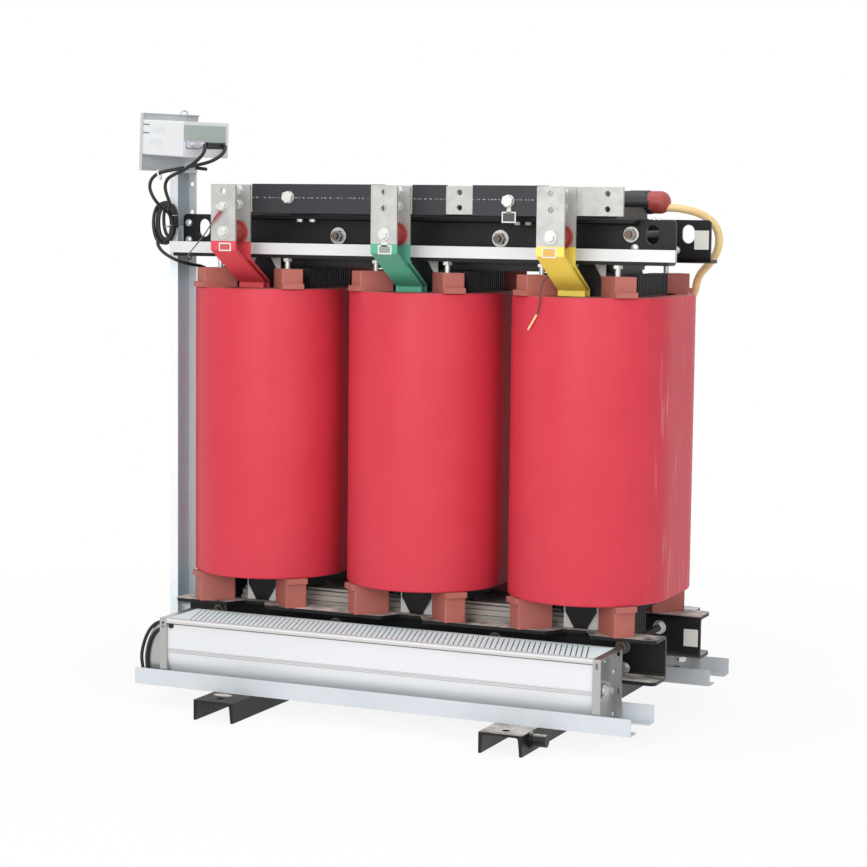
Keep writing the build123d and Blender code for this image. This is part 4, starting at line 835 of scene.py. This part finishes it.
# Slots, vents and terminal mouths are thin dark or grey fields in the colour of their shade.
case_side, connector_face, plug_face, plug_height = 2.5, 154, 168, 67.5
slots = [
    plate(oblong(29, 2.2, 1.0), on_tray(case_side, v, 17), -tray_out, tray_up, -0.35) for v in (107.5, 88)
]
piece("case_slots", slots, moulding("slot_shadow", "#3A3C40", "#303236", 0.8, 1.0))
vents = [
    plate(oblong(2.6, 14, 1.0), on_tray(case_side, v, w + 9 * k), -tray_out, tray_up, -0.3)
    for v, w in ((94.5, 47), (68, 41)) for k in range(5)
]
piece("case_vents", vents, moulding("vent_shadow", "#C9CCCF", "#C2C5C8", 0.7, 1.0))
panel = [plate(oblong(127, 38, 1.0), on_tray(67, 92, connector_face), tray_along, tray_up, 0.3)]
panel_green = moulding("blank_printed_panel", "#A8B3AD", "#A0ABA5", 0.5, 1.5, 0.04)
piece("case_panel", panel, panel_green)
# The plugs share one node: grey plastic on the left of a split along the tray, black beyond.
plug_plastic = moulding("moulded_plugs", "#1D1D20", "#161618", 0.5, 1.0)
tree = plug_plastic.node_tree
shader = tree.nodes["Principled BSDF"]
place = node(tree, "ShaderNodeTexCoord").outputs["Object"]
run = node(
    tree, "ShaderNodeVectorMath", {"operation": "DOT_PRODUCT"}, _0=place, _1=tray_along.tolist()
).outputs["Value"]
split = float(on_tray(62, 0, 0) @ tray_along)
side = node(tree, "ShaderNodeMath", below, _0=run, _1=split).outputs[0]
dark = shader.inputs["Base Color"].links[0].from_socket
tint = node(tree, "ShaderNodeMix", rgba, Factor=side, _6=dark, _7=linear("#B9B8C6")).outputs[2]
tree.links.new(tint, shader.inputs["Base Color"])
dress(plug_plastic, "controller_plugs")
contacts = [
    plate(oblong(4.2, 4.6, 0.6), on_tray(80 + 6.2 * k, v, connector_face), tray_along, tray_up, 0.25)
    for k in range(8) for v in (64, 71)
]
contact_grey = moulding("terminal_mouth", "#4A4A4E", "#3E3E42", 0.6, 1.0)
piece("terminal_mouths", contacts, contact_grey)
thumb = [(0, 0), (3.5, 0), (3.5, 4), (2.6, 5), (0, 5)]
gland = [(0, 0), (6, 0), (5, 7), (4.4, 9), (0, 9)]
thumbs = [turned(thumb, on_tray(u, plug_height, plug_face), tray_out, 16) for u in (16, 22)]
thumbs.append(turned(gland, on_tray(46.5, plug_height, plug_face), tray_out, 20))
piece("plug_screws", thumbs, zinc_plate)

# Control cables: two black rubber-jacketed cables from the unit's connectors, tied together
# below the tray and wound into a hank on the post, one going on to the left winding.
cable_diameter, bar_tops, hank_height = 0.008, 1201, 1112


def cord_curve(name, route, diameter, material):
    """Round cord on one smooth spline whose control points are the route."""
    route = np.asarray(route, float)
    data = bpy.data.curves.new(name, "CURVE")
    data.dimensions = "3D"
    data.bevel_depth = diameter / 2
    data.bevel_resolution = 3
    data.use_fill_caps = True
    data.resolution_u = 6
    spline = data.splines.new("NURBS")
    spline.points.add(len(route) - 1)
    spline.points.foreach_set("co", np.c_[route, np.ones(len(route))].ravel())
    spline.order_u = 3
    spline.use_endpoint_u = True
    data.materials.append(material)
    made = bpy.data.objects.new(name, data)
    scene.collection.objects.link(made)
    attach(made, "root")
    return made


def above_bars(*points):
    """Places from millimetres along, back, and up from the bars' tops."""
    return [spot(x, y, bar_tops + z) for x, y, z in points]


def hank_turns(turns, start, middle, wide, tall, near, far):
    """Long oval turns round a middle, clockwise from the front: the angle falls evenly, its
    cosine is flattened to blunt the ends, the half widths and the middle swell and drift
    between given turns, and the turns go from near to far."""
    angle = np.radians(start - np.arange(0, 360 * turns + 1, 30))
    gone = np.linspace(0, turns, len(angle))
    swell = np.interp(gone, (0, 0.5, 1.2, 2.0, 3.0), (0, 4, -2, 3, 0))
    drift = np.interp(gone, (0, 0.6, 1.3, 2.2, 3.0), (0, -4, 4, -3, 0))
    blunt = np.sign(np.cos(angle)) * np.abs(np.cos(angle)) ** 0.7
    x = middle + (wide + swell) * blunt + drift
    z = hank_height + (tall + 1.2 * swell) * np.sin(angle) + drift
    y = np.linspace(near, far, len(angle))
    return list(spot(x, y, z).T)


control_start = [on_tray(120.5, plug_height, connector_face), on_tray(120.5, plug_height, 163)]
control_route = control_start + above_bars(
    (-472, -180, 85), (-472, -188, 74), (-482, -195, 62), (-502, -203, 51), (-530, -212, 44),
    (-570, -226, 35), (-604, -236, 29), (-624, -241, 21), (-636, -242, 8), (-640, -241, -8),
    (-635, -238, -26), (-627, -231, -42), (-622, -218, -53), (-620, -203, -60), (-616, -188, -70),
)
control_route += hank_turns(3, 0, -639, 22, 46, -179, -164)
control_route += hank_turns(0.25, 0, -639, 20, 44, -168, -184)[1:]
control_route += above_bars(
    (-640, -199, -130), (-637, -210, -135), (-631, -215, -146), (-621, -213, -158), (-608, -207, -168),
    (-595, -198, -176), (-584, -185, -182), (-577, -166, -186), (-573, -143, -189), (-570, -118, -192),
    (-567, -97, -199), (-565, -81, -210), (-564, -72, -224), (-564, -72, -237),
)
control = cord_curve("control_cable_run", control_route, cable_diameter, cable_rubber)
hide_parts("control_cable", "control_cable_hank")

sensor_start = [on_tray(46.5, plug_height, plug_face), on_tray(46.5, plug_height, 177)]
sensor_route = sensor_start + above_bars(
    (-485, -252, 84), (-486, -255, 73), (-498, -253, 60), (-522, -248, 44), (-548, -247, 30),
    (-572, -247, 21), (-586, -246, 14), (-595, -244, 3), (-598, -241, -10), (-596, -238, -23),
    (-593, -234, -35), (-593, -228, -46), (-599, -220, -54), (-608, -210, -59), (-614, -197, -64),
    (-615, -184, -76),
)
sensor_route += hank_turns(2, -15, -629, 18, 40, -180, -166)
sensor = cord_curve("sensor_cable_run", sensor_route, cable_diameter, cable_rubber)
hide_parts("sensor_cable")


def hoop(centre, first, second, wire):
    """Closed round wire of that radius on an ellipse given by its two half axes, in
    millimetres: a circle in the plane of the spoke and the ellipse's normal goes round it."""
    steps, sides = 32, 8
    first, second = np.asarray(first, float), np.asarray(second, float)
    out = np.cross(first, second)
    out /= np.linalg.norm(out)
    angle = np.linspace(0, 2 * np.pi, steps + 1)[:-1]
    spoke = np.cos(angle)[:, None] * first + np.sin(angle)[:, None] * second
    way = spoke / np.linalg.norm(spoke, axis=1)[:, None]
    turn = np.linspace(0, 2 * np.pi, sides + 1)[:-1]
    ring = np.cos(turn)[None, :, None] * way[:, None] + np.sin(turn)[None, :, None] * out
    tube = spoke[:, None] + wire * ring
    return centre + tube / 1000, grid_faces(steps, sides, True, True)


# Nylon ties, moulded and white, hold the cables and a cut end; bare bright wire, the hank.
ties = [
    hoop(spot(-614, -239, 1223), (3, 1, -11), (-2, 9, 2), 2.0),
    hoop(spot(-541, -224, 1240), (2, 2, -11), (1, 22, 6), 1.2),
]
tie_white = moulding("white_cable_tie", "#E9E9E6", "#DEDEDA", 0.45, 1.0)
bands = piece("cable_ties", ties, tie_white)
reach = np.array([30.0, 0.0, -3.0])
stub = [(0, 0), (4, 0), (4, 30), (3.4, 30.6), (0, 30.6)]
cut = [turned(stub, spot(-541, -200, 1239), reach / np.linalg.norm(reach), 16)]
cut_end = piece("cut_cable_end", cut, cable_rubber)
wires = [
    hoop(spot(-617, -172, 1128), (8, 2, 0), (0, 12, 0), 1.2),
    hoop(spot(-622, -172, 1104), (13, 2, 3), (0, 12, 0), 1.2),
]
wire_bright = plated("bare_tie_wire", "#D6D6D6", 0.3, 0.7)
straps = piece("hank_wires", wires, wire_bright)

# Sensor wire: a thin brown-grey lead from beside the right bar, laid over the coil's rim. It
# ends in a cream silicone probe that hangs against the coil's front.
wire_end, probe_tip = (-70, -242, -39), (-94, -233, -74)
wire_route = [spot(402 + x, y, 964 + z) for x, y, z in (
    (-46.5, -224.5, 41.6), (-52.5, -224.5, 41.6), (-57, -230, 38), (-59, -239, 29), (-59.5, -246, 16),
    (-60, -249, 3), (-62, -247, -12), (-66, -244, -28), wire_end,
)]
wire_grey = moulding("thin_grey_wire", "#5A4A44", "#4C3E3A", 0.5, 1.0)
thin = cord_curve("sensor_wire_run", wire_route, 0.003, wire_grey)
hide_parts("sensor_wire")
tip = np.array(probe_tip) - np.array(wire_end)
reach = float(np.linalg.norm(tip))
bulb = [(0, 0), (2.2, 0), (2.4, 2), (2.4, reach - 4), (1.6, reach - 1), (0, reach)]
probe = piece("sensor_probe", [turned(bulb, wire_route[-1], tip / reach, 16)], lead_cream)

# Lug: a stamped and plated tongue, crimped on the sensing lead and held under the left bar's
# bolt. A red plastic sleeve covers the crimp.
outline = rounded([(-18, -5), (4, -9), (9, 0), (4, 9), (-18, 5)], 3)
tongue = [plate(outline, spot(-404, -315.5, 1150.5), along, upright, 1.2)]
piece("lug_tongue", tongue, zinc_plate)
grip = np.array([-17, -4, -25.0])
sleeve = [(0, 0), (3.2, 0), (3.6, 6), (3.0, 22), (1.8, 30), (0, 30)]
crimp = [turned(sleeve, spot(-409, -319, 1139), grip / np.linalg.norm(grip), 16)]
piece("lug_sleeve", crimp, tag_inks["red"])

low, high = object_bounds()
